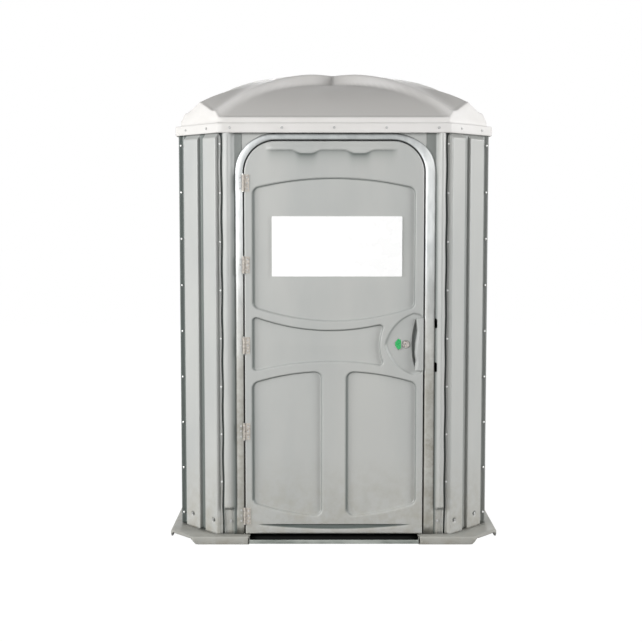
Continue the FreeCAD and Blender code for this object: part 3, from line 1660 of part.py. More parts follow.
def all_nodes():
    """The solid or solids of each node."""
    corner = corner_panel()
    vent = louvre()
    wall_screw = screw(rim_half - wall_inner + 4)
    base_screw = screw(wall_half - curb_face + curb_thickness)
    strike_screw = screw(strike_thickness + frame_sheet, small_head_radius)
    bar_screw = screw(bar_flange_thickness + sheet, small_head_radius)
    paper_screw = screw(paper_bracket + sheet, small_head_radius)
    hook_screw = screw(hook_plate + sheet, small_head_radius)
    front_screws = fit(screw(-curb_face - jamb_y + curb_thickness), front_base_spots())
    walls_only = [spot for spot in base_spots() if spot not in front_base_spots()]
    seam_rivet = rivet(2 * sheet)
    return {
        "base_pan": base_pan(),
        "threshold_strip": threshold_strip(),
        "corner_panel_front_right": corner,
        "corner_panel_front_left": flip_x(corner),
        "corner_panel_rear_right": flip_y(corner),
        "corner_panel_rear_left": flip_both(corner),
        "side_panel_right": side_panel(side_bar_spots() + paper_holder_spots()),
        "side_panel_left": flip_x(side_panel(swap(hook_spots(), -1, 1))),
        "back_panel": back_panel(),
        "front_panel": front_panel(),
        "vent_louvre_right": vent,
        "vent_louvre_left": flip_x(vent),
        "door_frame": door_frame(),
        "door_seal": door_seal(),
        "strike_plate": strike_plate(),
        "strike_screws": fit(strike_screw, strike_spots()),
        "hinge_leaves_frame": hinge_leaves_frame(),
        "hinge_leaves_door": hinge_leaves_door(),
        "hinge_pins": hinge_pins(),
        "hinge_screws_frame": fit(screw(10, 4.5), frame_screw_spots()),
        "hinge_screws_door": fit(screw(8, 4.5), door_screw_spots()),
        "door_outer_skin": door_outer_skin(),
        "door_inner_skin": door_inner_skin(),
        "handle_pod": handle_pod(),
        "door_pull": door_pull(),
        "door_pull_screws": fit(screw(8, small_head_radius), pull_screw_spots()),
        "sign_plate": sign_plate(),
        "indicator_window": indicator_window(),
        "latch_spindle": latch_spindle(),
        "coin_disc": coin_disc(),
        "indicator_flag": indicator_flag(),
        "latch_tongue": latch_tongue(),
        "latch_lever": latch_lever(),
        "latch_plate": latch_plate(),
        "latch_plate_screws": fit(screw(8, small_head_radius), latch_plate_spots()),
        "inner_pull": inner_pull(),
        "inner_pull_screws": fit(screw(door_skin + 7, 6), inner_pull_spots()),
        "roof_shell": roof_shell(),
        "roof_screws": fit(wall_screw, rim_spots()),
        "seam_rivets_front": fit(seam_rivet, four_corners(front_seam_spots())),
        "seam_rivets_side": fit(seam_rivet, four_corners(side_seam_spots())),
        "base_screws": group([fit(base_screw, walls_only), front_screws]),
        "waste_tank": waste_tank(),
        "tank_screws": fit(screw(14), tank_screw_spots()),
        "toilet_seat": toilet_seat(),
        "seat_posts": seat_posts(),
        "seat_pins": seat_pins(),
        "vent_pipe": vent_pipe(),
        "vent_collar": vent_collar(),
        "vent_cap": vent_cap(),
        "grab_bar_side": grab_bar_side(),
        "grab_bar_rear": grab_bar_rear(),
        "grab_bar_screws": fit(bar_screw, side_bar_spots() + rear_bar_spots()),
        "paper_holder": paper_holder(),
        "paper_spindle": paper_spindle(),
        "paper_roll_near": paper_roll(-1),
        "paper_roll_far": paper_roll(1),
        "paper_holder_screws": fit(paper_screw, paper_holder_spots()),
        "coat_hook": coat_hook(),
        "coat_hook_screws": fit(hook_screw, hook_spots()),
    }


os.makedirs("parts", exist_ok=True)
for name, shape in all_nodes().items():
    shape.exportStep("parts/" + name + ".step")
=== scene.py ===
import bpy
import json
import math
import numpy as np
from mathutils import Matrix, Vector


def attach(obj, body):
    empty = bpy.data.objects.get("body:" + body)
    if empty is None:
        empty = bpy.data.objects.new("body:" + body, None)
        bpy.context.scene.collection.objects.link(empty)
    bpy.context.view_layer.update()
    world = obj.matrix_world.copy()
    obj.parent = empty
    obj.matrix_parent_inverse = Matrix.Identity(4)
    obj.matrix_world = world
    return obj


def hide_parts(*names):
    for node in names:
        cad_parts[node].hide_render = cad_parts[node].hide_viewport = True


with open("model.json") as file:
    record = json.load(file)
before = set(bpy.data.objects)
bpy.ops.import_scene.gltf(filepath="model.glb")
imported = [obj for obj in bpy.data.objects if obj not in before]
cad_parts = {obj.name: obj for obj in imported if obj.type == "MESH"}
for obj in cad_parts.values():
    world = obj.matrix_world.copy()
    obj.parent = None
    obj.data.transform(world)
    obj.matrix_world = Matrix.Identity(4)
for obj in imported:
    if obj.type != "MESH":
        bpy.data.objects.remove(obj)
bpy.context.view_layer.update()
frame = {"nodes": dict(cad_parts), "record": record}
MM = 0.001
ROOT2 = math.sqrt(2)

# Finishes: each material starts from the real one, and its patterns from real sizes in millimetres


def linear(hex_colour):
    """An sRGB hex colour as linear red, green, blue and alpha."""
    channels = [int(hex_colour[i:i + 2], 16) / 255 for i in (1, 3, 5)]
    return [c / 12.92 if c <= 0.04045 else ((c + 0.055) / 1.055) ** 2.4 for c in channels] + [1.0]


def add(tree, kind, settings=(), links=()):
    """A node with its settings, given by socket or property name, and the sockets that feed it."""
    made = tree.nodes.new(kind)
    for name, value in dict(settings).items():
        if isinstance(name, int) or name in made.inputs:
            made.inputs[name].default_value = value
        else:
            setattr(made, name, value)
    for name, source in dict(links).items():
        tree.links.new(source, made.inputs[name])
    return made


class Finish:
    """A material as it is built up, with the point on the object that its patterns start from."""

    def __init__(self, name, colour, roughness, metallic=0.0, ior=1.5, **more):
        self.material = bpy.data.materials.new(name)
        self.material.use_nodes = True
        self.tree = self.material.node_tree
        self.shader = self.tree.nodes["Principled BSDF"]
        values = {"Base Color": linear(colour), "Roughness": roughness, "Metallic": metallic}
        if metallic == 0:
            values["IOR"] = ior
        for socket, value in dict(values, **more).items():
            self.shader.inputs[socket.replace("_", " ")].default_value = value
        self.place = add(self.tree, "ShaderNodeTexCoord").outputs["Object"]
        self.colour = self.normal = None

    def patches(self, size_mm, detail, stretch):
        """A cloudy pattern with patches of about size_mm, drawn out where stretch is below 1."""
        spread = add(self.tree, "ShaderNodeMapping", {"Scale": stretch}, {"Vector": self.place})
        cloud = add(self.tree, "ShaderNodeTexNoise", {"Scale": 1 / (size_mm * MM), "Detail": detail},
                    {"Vector": spread.outputs[0]})
        return cloud.outputs["Fac"]

    def paint(self, colour):
        """Makes this the colour of the surface, until something covers it."""
        self.colour = colour
        self.tree.links.new(colour, self.shader.inputs["Base Color"])

    def cover(self, colour, amount):
        """Lays another colour over the one so far, by amount."""
        mix = add(self.tree, "ShaderNodeMix", {"data_type": "RGBA", 7: linear(colour)},
                  {"Factor": amount, 6: self.colour})
        self.paint(mix.outputs[2])

    def vary_colour(self, colours, size_mm, stretch=(1, 1, 1)):
        """Colour that drifts between two shades in patches of about size_mm."""
        ramp = add(self.tree, "ShaderNodeValToRGB", {}, {"Fac": self.patches(size_mm, 4.0, stretch)})
        for stop, position, colour in zip(ramp.color_ramp.elements, (0.35, 0.65), colours):
            stop.position, stop.color = position, linear(colour)
        self.paint(ramp.outputs["Color"])

    def vary_gloss(self, rough_range, size_mm, stretch=(1, 1, 1)):
        """Roughness that drifts between two values in patches of about size_mm."""
        wide = add(self.tree, "ShaderNodeMapRange",
                   {"From Min": 0.3, "From Max": 0.7, "To Min": rough_range[0], "To Max": rough_range[1]},
                   {"Value": self.patches(size_mm, 5.0, stretch)})
        self.tree.links.new(wide.outputs[0], self.shader.inputs["Roughness"])

    def grain(self, size_mm, height_mm, strength, stretch=(1, 1, 1)):
        """A surface texture of about size_mm, height_mm deep, over any coarser one that came before.

        Textures that are really finer than 1 mm are too fine to show, so they are drawn at 1 to 4 mm.
        """
        links = {"Height": self.patches(size_mm, 2.0, stretch)}
        if self.normal is not None:
            links["Normal"] = self.normal
        bump = add(self.tree, "ShaderNodeBump", {"Strength": strength, "Distance": height_mm * MM}, links)
        self.normal = bump.outputs["Normal"]
        self.tree.links.new(self.normal, self.shader.inputs["Normal"])

    def dust_and_shade_by_height(self, cover_colour, none_at_mm, most_at_mm, least=0.15):
        """Dust and splashes in blots of about 45 mm, from none at one level to the most at another; also used to
        lay painted shade by height.
        """
        height = add(self.tree, "ShaderNodeSeparateXYZ", {}, {"Vector": self.place})
        depth = add(self.tree, "ShaderNodeMapRange",
                    {"From Min": none_at_mm * MM, "From Max": most_at_mm * MM}, {"Value": height.outputs["Z"]})
        blots = add(self.tree, "ShaderNodeTexNoise",
                    {"Scale": 1 / (45 * MM), "Detail": 6.0, "Roughness": 0.65}, {"Vector": self.place})
        patch = add(self.tree, "ShaderNodeMapRange",
                    {"From Min": 0.38, "From Max": 0.68, "To Min": least}, {"Value": blots.outputs["Fac"]})
        amount = add(self.tree, "ShaderNodeMath", {"operation": "MULTIPLY"},
                     {0: depth.outputs[0], 1: patch.outputs[0]})
        self.cover(cover_colour, amount.outputs[0])

    def shade_in_hollows(self, painted_shade):
        """Painted shade: a darker colour laid by the piece's own hollow value, in its grooves, recess edges and
        gaps.
        """
        depth = add(self.tree, "ShaderNodeAttribute", {"attribute_name": "hollow"})
        self.cover(painted_shade, depth.outputs["Fac"])


def formed_polyethylene_sheet():
    """Vacuum-formed grey polyethylene sheet: satin, soft in colour, with a slightly wavy face."""
    sheet = Finish("formed_polyethylene_sheet", "#B3B4B2", 0.42, ior=1.51)
    sheet.vary_colour(("#AEB0AE", "#B7B8B5"), 260, (1, 1, 0.35))
    sheet.dust_and_shade_by_height("#A3A096", 420, 0)
    # Painted shade: #5F6663 laid in grooves, recess edges and gaps by the hollow value
    sheet.shade_in_hollows("#5F6663")
    sheet.vary_gloss((0.36, 0.5), 130)
    sheet.grain(95, 0.5, 0.35, (1, 1, 0.5))
    sheet.grain(3.0, 0.06, 0.35)
    return sheet.material


def moulded_base_polyethylene():
    """Rotationally moulded base: duller than the sheet, pebbled, and dusty where feet pass."""
    base = Finish("moulded_base_polyethylene", "#A6A6A1", 0.55, ior=1.51)
    base.vary_colour(("#9D9E99", "#ABABA6"), 90)
    base.dust_and_shade_by_height("#8F8B80", 60, 0)
    base.vary_gloss((0.48, 0.66), 70)
    base.grain(4.0, 0.15, 0.5)
    return base.material


def moulded_roof_polyethylene():
    """Light translucent roof moulding: milky and almost matt; its fields are painted greyer as shade."""
    roofing = Finish("moulded_roof_polyethylene", "#D8D6D4", 0.5, ior=1.51)
    roofing.vary_colour(("#D3D1CE", "#DDDBD9"), 300)
    # Painted shade: the fields are greyed to #BEBCB9 by the roof's hollow value
    roofing.shade_in_hollows("#BEBCB9")
    roofing.vary_gloss((0.44, 0.58), 160)
    roofing.grain(120, 0.6, 0.3)
    roofing.grain(4.0, 0.08, 0.35)
    return roofing.material


def mill_aluminium():
    """Extruded aluminium as it leaves the mill: bright, painted darker along the head as shade, and dirty lower
    down.
    """
    metal = Finish("mill_aluminium", "#B2B4B4", 0.5, metallic=1.0)
    metal.vary_colour(("#B2B5B5", "#D6D8D7"), 45, (1, 1, 0.25))
    # Painted shade: darker along the arch head, from 1800 mm up
    metal.dust_and_shade_by_height("#9B9E9E", 1800, 1925, 0.7)
    metal.dust_and_shade_by_height("#8E8C84", 1450, 700, 0.7)
    metal.vary_gloss((0.44, 0.6), 25, (1, 1, 0.1))
    metal.grain(1.6, 0.02, 0.5, (1, 1, 0.02))
    return metal.material


def cast_hinge_alloy():
    """Die-cast hinge alloy: warm grey, lightly sand-like skin, rubbed bright in places."""
    alloy = Finish("cast_hinge_alloy", "#B7B0A8", 0.6, metallic=0.25)
    alloy.vary_colour(("#9C968F", "#C9C3BA"), 9)
    alloy.vary_gloss((0.55, 0.75), 9)
    alloy.grain(1.5, 0.05, 0.5)
    return alloy.material


def stainless_steel():
    """Turned stainless steel: mid-bright with fine tool marks and a little dulling."""
    steel = Finish("stainless_steel", "#BDBDBC", 0.3, metallic=1.0)
    steel.vary_colour(("#A9A9A8", "#C8C8C7"), 12)
    steel.vary_gloss((0.24, 0.42), 8)
    steel.grain(0.8, 0.01, 0.5)
    return steel.material


def worn_step_aluminium():
    """The aluminium step edge, dulled and greened by boots and damp."""
    metal = Finish("worn_step_aluminium", "#8E938E", 0.6, metallic=0.4)
    metal.vary_colour(("#6F756F", "#A2A6A1"), 45, (0.3, 1, 1))
    metal.vary_gloss((0.45, 0.7), 20)
    metal.grain(1.2, 0.04, 0.6, (0.1, 1, 1))
    return metal.material


def dulled_steel():
    """The slotted steel disc, brown-grey and blotched from handling."""
    steel = Finish("dulled_steel", "#A39C96", 0.45, metallic=0.7)
    steel.vary_colour(("#7A736E", "#D2CCC6"), 7)
    steel.vary_gloss((0.35, 0.6), 5)
    return steel.material


def bright_rivet_aluminium():
    """Heads of drawn aluminium rivets: light, smooth and clean."""
    metal = Finish("bright_rivet_aluminium", "#F4F4F2", 0.3, metallic=0.25)
    metal.vary_colour(("#EDEDEB", "#FBFBFA"), 8)
    metal.grain(0.8, 0.01, 0.5)
    return metal.material


def polished_steel():
    """Polished tube and discs: near mirror, with faint smears."""
    steel = Finish("polished_steel", "#D4D4D6", 0.12, metallic=1.0)
    steel.vary_gloss((0.08, 0.22), 30)
    steel.grain(6.0, 0.01, 0.3)
    return steel.material


def extruded_rubber():
    """Black extruded rubber: dry, matt and slightly dusty."""
    rubber = Finish("extruded_rubber", "#1B1B1B", 0.75, ior=1.52)
    rubber.vary_colour(("#151515", "#262524"), 22, (1, 1, 0.2))
    rubber.grain(1.2, 0.05, 0.5)
    return rubber.material


def shade_black_rubber():
    """The tread's rubber, nearly black: its colour is painted shade that stands for the shadow under the door."""
    rubber = Finish("shade_black_rubber", "#060606", 0.8, ior=1.4, Specular_IOR_Level=0.2)
    rubber.vary_colour(("#040404", "#0B0B0A"), 18, (0.3, 1, 1))
    rubber.grain(1.2, 0.05, 0.5)
    return rubber.material


def white_vinyl_sheet():
    """White self-adhesive vinyl on a flat plate: even, glossy, with slight pressing marks."""
    vinyl = Finish("white_vinyl_sheet", "#FCFCFC", 0.28, ior=1.53)
    vinyl.vary_colour(("#FCFCFC", "#FEFEFE"), 400)
    vinyl.vary_gloss((0.22, 0.36), 60)
    vinyl.grain(30, 0.01, 0.3)
    return vinyl.material


def clear_polycarbonate():
    """Clear window plate: seen through, with a sharp surface gloss; it bends light as a thin plate does."""
    plate = Finish("clear_polycarbonate", "#FFFFFF", 0.02, ior=1.2, Transmission_Weight=1.0)
    plate.vary_gloss((0.03, 0.1), 8)
    return plate.material


def green_flag_plastic():
    """Moulded signal-green plastic: saturated, satin."""
    plastic = Finish("green_flag_plastic", "#0E9A4C", 0.4, ior=1.45)
    plastic.vary_colour(("#0A9046", "#16A556"), 10)
    plastic.grain(1.5, 0.02, 0.4)
    return plastic.material


def moulded_tank_polyethylene():
    """Dark rotationally moulded tank: charcoal with a pebbled skin."""
    tank = Finish("moulded_tank_polyethylene", "#3C4043", 0.5, ior=1.51)
    tank.vary_colour(("#363A3D", "#44484B"), 80)
    tank.vary_gloss((0.42, 0.6), 50)
    tank.grain(3.0, 0.12, 0.5)
    return tank.material


def moulded_seat_plastic():
    """Black moulded seat: smooth and glossy with fine wear."""
    seat = Finish("moulded_seat_plastic", "#1D1D20", 0.25, ior=1.5)
    seat.vary_colour(("#19191C", "#242428"), 40)
    seat.vary_gloss((0.18, 0.36), 25)
    seat.grain(2.0, 0.02, 0.3)
    return seat.material


def pipe_vinyl():
    """Extruded grey vinyl pipe: even and slightly dull."""
    pipe = Finish("pipe_vinyl", "#8C8F8F", 0.45, ior=1.53)
    pipe.vary_colour(("#868989", "#939696"), 70, (1, 1, 0.2))
    pipe.vary_gloss((0.38, 0.54), 40)
    pipe.grain(2.0, 0.03, 0.3)
    return pipe.material


def tissue_paper():
    """Soft white tissue in a roll: matt, quilted with small dimples."""
    paper = Finish("tissue_paper", "#F1EFEB", 0.95, ior=1.4)
    paper.vary_colour(("#ECEAE6", "#F5F3F0"), 18)
    paper.grain(3.5, 0.3, 0.6)
    return paper.material


finishes = {
    "wall_plastic": formed_polyethylene_sheet(),
    "base_plastic": moulded_base_polyethylene(),
    "roof_plastic": moulded_roof_polyethylene(),
    "frame_metal": mill_aluminium(),
    "hinge_metal": cast_hinge_alloy(),
    "fastener_steel": stainless_steel(),
    "bright_steel": polished_steel(),
    "seal_rubber": extruded_rubber(),
    "sign_plastic": white_vinyl_sheet(),
    "window_clear": clear_polycarbonate(),
    "flag_plastic": green_flag_plastic(),
    "tank_plastic": moulded_tank_polyethylene(),
    "seat_plastic": moulded_seat_plastic(),
    "vent_plastic": pipe_vinyl(),
    "paper": tissue_paper(),
}
rivet_aluminium = bright_rivet_aluminium()
own_finish = {"seam_rivets_front": rivet_aluminium, "coin_disc": dulled_steel()}
slot_of = {part["node"]: part["material_slot"] for part in frame["record"]["subparts"]}
for name, piece in frame["nodes"].items():
    for polygon in piece.data.polygons:
        polygon.material_index = 0
    piece.data.materials.clear()
    piece.data.materials.append(own_finish.get(name) or finishes[slot_of[name]])


# Shapes drawn by number, in mm: plan lines, height fields and closed skins


def ease(t):
    """A smooth rise from 0 to 1 as t does."""
    t = np.clip(t, 0.0, 1.0)
    return t * t * (3 - 2 * t)


def heights(*stops):
    """Levels from pairs of a level and the step up to the next one."""
    made = []
    for (low, step), (high, _) in zip(stops, stops[1:]):
        made += list(np.arange(low, high - step * 0.3, step))
    return np.array(made + [stops[-1][0]])


def walked(corners, step):
    """Points about step apart along straight runs between corners."""
    line = []
    for a, b in zip(corners, corners[1:]):
        a, b = np.array(a, float), np.array(b, float)
        count = max(1, int(round(np.linalg.norm(b - a) / step)))
        line += [a + (b - a) * i / count for i in range(count)]
    return np.array(line + [np.array(corners[-1], float)])


def walked_together(shaped, flat, step):
    """A shaped plan line walked in steps, and its flat one with as many points."""
    shaped_line, flat_line = [], []
    for a, b, c, d in zip(shaped, shaped[1:], flat, flat[1:]):
        run = walked([a, b], step)
        shaped_line.append(run[:-1])
        flat_line.append(np.linspace(c, d, len(run))[:-1])
    return np.concatenate(shaped_line + [[shaped[-1]]]), np.concatenate(flat_line + [[flat[-1]]])


def risen(flat, shaped, rise):
    """Plan points on their way from a flat line to a shaped one, as x and y at each level."""
    return [flat[:, k] + (shaped[:, k] - flat[:, k]) * rise for k in range(2)]


def softened(points, times):
    """A plan line with its corners rounded off over three points at a time; its ends stay."""
    line = np.array(points, float)
    for _ in range(times):
        padded = np.pad(line, ((1, 1), (0, 0)), mode="reflect", reflect_type="odd")
        line = np.stack([np.convolve(padded[:, k], np.ones(3) / 3, "valid") for k in range(2)], 1)
    return line


def bowed(corners, steps=14):
    """A closed outline, corners anticlockwise: each is x, z and how far in the next side bows."""
    line = []
    for (x, z, bow), after in zip(corners, corners[1:] + corners[:1]):
        start = np.array((x, z), float)
        along = np.array(after[:2], float) - start
        inward = np.array((-along[1], along[0])) / np.linalg.norm(along)
        for k in range(steps):
            t = k / steps
            line.append(start + along * t + inward * bow * 4 * t * (1 - t))
    return np.array(line)


def reach_of(outline, x, z, limit):
    """Signed distance from each point to an outline, negative inside, as far as limit outside."""
    found = np.full(x.shape, float(limit))
    low, high = outline.min(0) - limit, outline.max(0) + limit
    near = (x > low[0]) & (x < high[0]) & (z > low[1]) & (z < high[1])
    px, pz = x[near], z[near]
    best = np.full(px.shape, np.inf)
    inside = np.zeros(px.shape, bool)
    for a, b in zip(outline, np.roll(outline, -1, 0)):
        dx, dz = b - a
        t = np.clip(((px - a[0]) * dx + (pz - a[1]) * dz) / max(dx * dx + dz * dz, 1e-9), 0, 1)
        best = np.minimum(best, (px - a[0] - t * dx) ** 2 + (pz - a[1] - t * dz) ** 2)
        if a[1] != b[1]:
            crosses = (a[1] > pz) != (b[1] > pz)
            inside ^= crosses & (px < dx * (pz - a[1]) / dz + a[0])
    found[near] = np.sqrt(best) * np.where(inside, -1.0, 1.0)
    return found


def octagon_ring(half, leg, counts):
    """Points round an octagon, with a set number on its cut corners and on its long sides."""
    near = half - leg
    corners = [(near, -half), (half, -near), (half, near), (near, half),
               (-near, half), (-half, near), (-half, -near), (-near, -half)]
    ring = []
    for i, (a, b) in enumerate(zip(corners, corners[1:] + corners[:1])):
        a, b, count = np.array(a, float), np.array(b, float), counts[i % 2]
        ring += [a + (b - a) * k / count for k in range(count)]
    return np.array(ring)


def grid(x, y, z):
    """Points of a net, from x, y and z given for the whole net, a row or a column."""
    return np.stack(np.broadcast_arrays(x, y, z), -1).astype(float)


def level_line(plan, z):
    """A plan line's points at a level, or each at its own."""
    return np.column_stack([plan, np.broadcast_to(z, len(plan))])


def front_line(line, y):
    """A line of x and z on the front, set at the depth y."""
    return np.column_stack([line[:, 0], np.full(len(line), y), line[:, 1]])


def net(name, points, keep=None, closed=False, flip=False, hollow=None):
    """A smooth mesh over rows and columns of points, with the cells that keep allows."""
    rows, columns = points.shape[:2]
    index = np.arange(rows * columns).reshape(rows, columns)
    if closed:
        index = np.concatenate([index, index[:, :1]], 1)
    corners = [index[:-1, :-1], index[:-1, 1:], index[1:, 1:], index[1:, :-1]]
    if flip:
        corners.reverse()
    faces = np.stack(corners, -1)
    faces = faces[keep] if keep is not None else faces.reshape(-1, 4)
    used = np.unique(faces)
    renumber = np.zeros(rows * columns, int)
    renumber[used] = np.arange(len(used))
    mesh = bpy.data.meshes.new(name)
    mesh.from_pydata((points.reshape(-1, 3)[used] * MM).tolist(), [], renumber[faces].tolist())
    # The hollow value is painted shade, laid on by the wall and roof finishes
    if hollow is not None:
        depth = mesh.attributes.new("hollow", "FLOAT", "POINT")
        depth.data.foreach_set("value", hollow.reshape(-1)[used].astype(np.float32))
    mesh.shade_smooth()
    piece = bpy.data.objects.new(name, mesh)
    bpy.context.scene.collection.objects.link(piece)
    return piece


def thicken(piece, thickness_mm):
    """Gives a skin its wall thickness, behind its face."""
    wall = piece.modifiers.new("wall_thickness", "SOLIDIFY")
    wall.thickness = thickness_mm * MM
    wall.offset = -1.0
    return piece


def dress(piece, slot, body, *replaced, finish=None):
    """Gives a piece its material, its body and the nodes that it stands for."""
    piece.data.materials.append(finish or finishes[slot])
    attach(piece, body)
    if replaced:
        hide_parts(*replaced)


# Walls: formed sheet with hollow ribs

WALL_HALF, CORNER_LEG, SHEET = 748.0, 198.0, 4.0
WALL_FOOT, WALL_TOP = 36.3, 1976.5
FRONT_SHEET, JAMB = 3.0, -734.0
SEAM_RIVETS, SEAM_BOTTOM, SEAM_TOP = 8, 288.0, 1886.0


def between_rivets(z):
    """How far a level is from the seam's rivets: 0 at a rivet, 1 midway."""
    pitch = (SEAM_TOP - SEAM_BOTTOM) / (SEAM_RIVETS - 1)
    return 0.5 - 0.5 * np.cos(2 * np.pi * (z - SEAM_BOTTOM) / pitch)


def corner_wall(name, sx, sy):
    """A corner panel: front flange, two ribs on the cut corner and the riveted strip."""
    rib_depth, flange_edge = 18.0, 529.0
    rib_end, rib_fade = 1934.0, 24.0
    edge_wave, edge_lift, shoulder_radius, shoulder_foot = 3.4, 2.2, 20.0, 1911.0
    dimples, dimple_level, dimple_radius, dimple_depth = (-103.2, 54.5), 100.0, 12.0, 5.0
    groove_shade = 0.4 if sx * sy > 0 else 0.95
    sheet_line = WALL_HALF - rib_depth
    leg = CORNER_LEG - rib_depth * (2 - ROOT2)
    half = leg * ROOT2 / 2
    run, out = np.array((1, 1)) / ROOT2, np.array((1, -1)) / ROOT2
    middle = np.array((1, -1)) * (WALL_HALF - CORNER_LEG / 2) - out * rib_depth

    def on_cut(along, height):
        return tuple(middle + run * along + out * height)

    def plan_line(height):
        line = [(flange_edge, -sheet_line), (sheet_line - leg, -sheet_line), on_cut(-half + 0.2, 0)]
        for low, high in ((-133.0, -40.0), (0.0, 105.0)):
            line += [on_cut(low - 4, 0), on_cut(low, height), on_cut(high, height), on_cut(high + 4, 0)]
        strip = leg - sheet_line
        return line + [on_cut(half - 4, 0), (WALL_HALF + 1, strip - 8), (WALL_HALF + 1, strip + 3)]

    ribbed, flat = walked_together(plan_line(rib_depth), plan_line(0.0), 2.6)
    ribbed, flat = softened(ribbed, 3), softened(flat, 3)
    raised = np.linalg.norm(ribbed - flat, axis=1) / rib_depth
    levels = heights((WALL_FOOT, 8.0), (78, 3.0), (123, 22.0), (1896, 3.0), (1944, 16.0), (WALL_TOP, 1))
    up = levels[:, None]
    points = grid(*risen(flat, ribbed, ease((rib_end - up) / rib_fade)), up)
    # The flange's free edge waves between its rivets and turns in at its head
    edge = np.clip(1 - (flat[:, 0] - flange_edge) / 13, 0, 1) * (flat[:, 1] < -sheet_line + 2)
    over = np.maximum(up - shoulder_foot, 0)
    shoulder = shoulder_radius - np.sqrt(np.maximum(shoulder_radius ** 2 - over ** 2, 0))
    points[..., 0] += edge * (edge_wave * between_rivets(up) + shoulder * 0.6)
    points[..., 1] -= edge * edge_lift * between_rivets(up)
    # Painted shade lies between the ribs, heavier on the front-left and rear-right panels, darker still on the
    # outer strip, and none on the flange
    along = (flat[:, 0] + flat[:, 1]) / ROOT2
    on_flange = (flat[:, 0] < sheet_line - leg + 3) | (along < -116)
    painted_shade = np.where(on_flange, 0.0, 1 - raised) * groove_shade * np.where(along > 104, 1.25, 1)
    painted_shade = painted_shade * np.ones_like(up)
    # A screw sits in a dimple at the foot of each rib, with painted shade round it
    for dimple in dimples:
        reach = np.hypot(along - dimple, up - dimple_level)
        dent = np.exp(-(reach / dimple_radius) ** 4) * raised * dimple_depth / ROOT2
        points[..., 0] -= dent
        points[..., 1] += dent
        painted_shade += 0.9 * np.exp(-(reach / 10.5) ** 4)
    return thicken(net(name, points * (sx, sy, 1), flip=sx * sy < 0, hollow=painted_shade), SHEET)


def flat_wall(name, half, rib_top, window, turn):
    """A flat wall with seven ribs; window is the half width, bottom and top of a cut opening."""
    face, pitch, groove, depth, draft = 726.0, 153.4, 34.0, 22.0, 4.0
    line = [(-half, 0.0)]
    for i in range(-3, 4):
        low, high = i * pitch - (pitch - groove) / 2, i * pitch + (pitch - groove) / 2
        line += [(low - draft, 0.0), (low, depth), (high, depth), (high + draft, 0.0)]
    run = softened(walked(line + [(half, 0.0)], 3.2), 3)
    levels = heights((WALL_FOOT, 30.0), (rib_top - 12, 3.0), (rib_top + 32, 9.0), (WALL_TOP, 1))
    keep = None
    if window:
        half_width, sill, head = window
        for stop in (sill, head):
            levels[np.argmin(abs(levels - stop))] = stop
        across = (abs(run[:-1, 0]) < half_width) & (abs(run[1:, 0]) < half_width)
        up = (levels[:-1] >= sill - 0.1) & (levels[1:] <= head + 0.1)
        keep = ~(up[:, None] & across)
    rise = ease((rib_top + 22 - levels) / 24)[:, None]
    points = grid(face + run[:, 1] * rise, run[:, 0], levels[:, None]) @ np.array(turn, float)
    # Painted shade in the grooves between the ribs, fading out above the ribs' tops
    painted_shade = (1 - run[:, 1] / depth) * rise * (abs(run[:, 0]) < 3.5 * pitch)
    return thicken(net(name, points, keep=keep, flip=np.linalg.det(turn) < 0, hollow=painted_shade), SHEET)


def doorway_wall(name, side):
    """One side of the front wall: the flat jamb, the rounded column and the joggle under the seam."""
    depth, column_end, column_foot = 26.0, 517.0, 152.0
    foot, face, shade_reach = (474.0, 490.0, 14.0) if side > 0 else (461.0, 481.0, 30.0)
    notches, notch_x, notch_half_width, notch_half_height = (1045.0, 838.0), 478.0, 7.5, 22.0
    joggle = [(521.5, 0.0), (522.5, -12.0), (548.0, -12.0)]
    shaped, flat = walked_together([(430.0, 0.0), (foot, 0.0), (face, depth), (column_end, depth)] + joggle,
                                   [(430.0, 0.0), (foot, 0.0), (face, 0.0), (column_end, 0.0)] + joggle, 1.8)
    share = np.clip((flat[:, 0] - foot) / (521 - foot), 0, 1)
    swell = np.where(share < 0.6, ease(share / 0.6),
                     np.sqrt(np.maximum(1 - 0.86 * ((share - 0.6) / 0.4) ** 2, 0)))
    column = (flat[:, 0] > foot) & (flat[:, 0] < 520.9)
    shaped[column] = np.column_stack([flat[column, 0], depth * swell[column]])
    shaped, flat = softened(shaped, 1), softened(flat, 1)
    levels = heights((WALL_FOOT, 22.0), (140, 2.0), (184, 24.0), (800, 4.0), (1090, 24.0), (WALL_TOP, 1))
    up, u = levels[:, None], flat[:, 0]
    x, y = risen(flat, shaped, ease((up - column_foot) / 20))
    points = grid(x, JAMB - y, up)
    # The column ends above a sunk foot, and its outer edge waves with the seam
    sunk = ease((u - foot - 14) / 5) * ease((520 - u) / 3)
    points[..., 1] += 6.0 * sunk * ease((158 - up) / 10)
    outer = ease((shaped[:, 0] - 514) / 6) * (shaped[:, 0] < 530)
    points[..., 0] += outer * 2.0 * (between_rivets(up) - 0.6)
    keep = None
    if side > 0:
        across = (shaped[:-1, 0] + shaped[1:, 0]) / 2
        between = (up[:-1] + up[1:]) / 2
        keep = np.ones((len(between), len(across)), bool)
        for level in notches:
            keep &= (((across - notch_x) / notch_half_width) ** 4
                     + ((between - level) / notch_half_height) ** 4) > 1
    # Painted shade: a dark band down the column's inner side beside the frame, lighter above the arch, the seam's
    # slot beyond the column, and a line at the sunk foot
    painted_shade = 1.3 * np.clip(1 - (u - foot) / shade_reach, 0, 1) * (0.5 + 0.5 * ease((1790 - up) / 70))
    painted_shade = np.where(u > 521, 1.35, painted_shade) + 0.5 * sunk * np.exp(-((up - 160) / 9) ** 2)
    return thicken(net(name, points * (side, 1, 1), keep=keep, flip=side < 0, hollow=painted_shade), FRONT_SHEET)


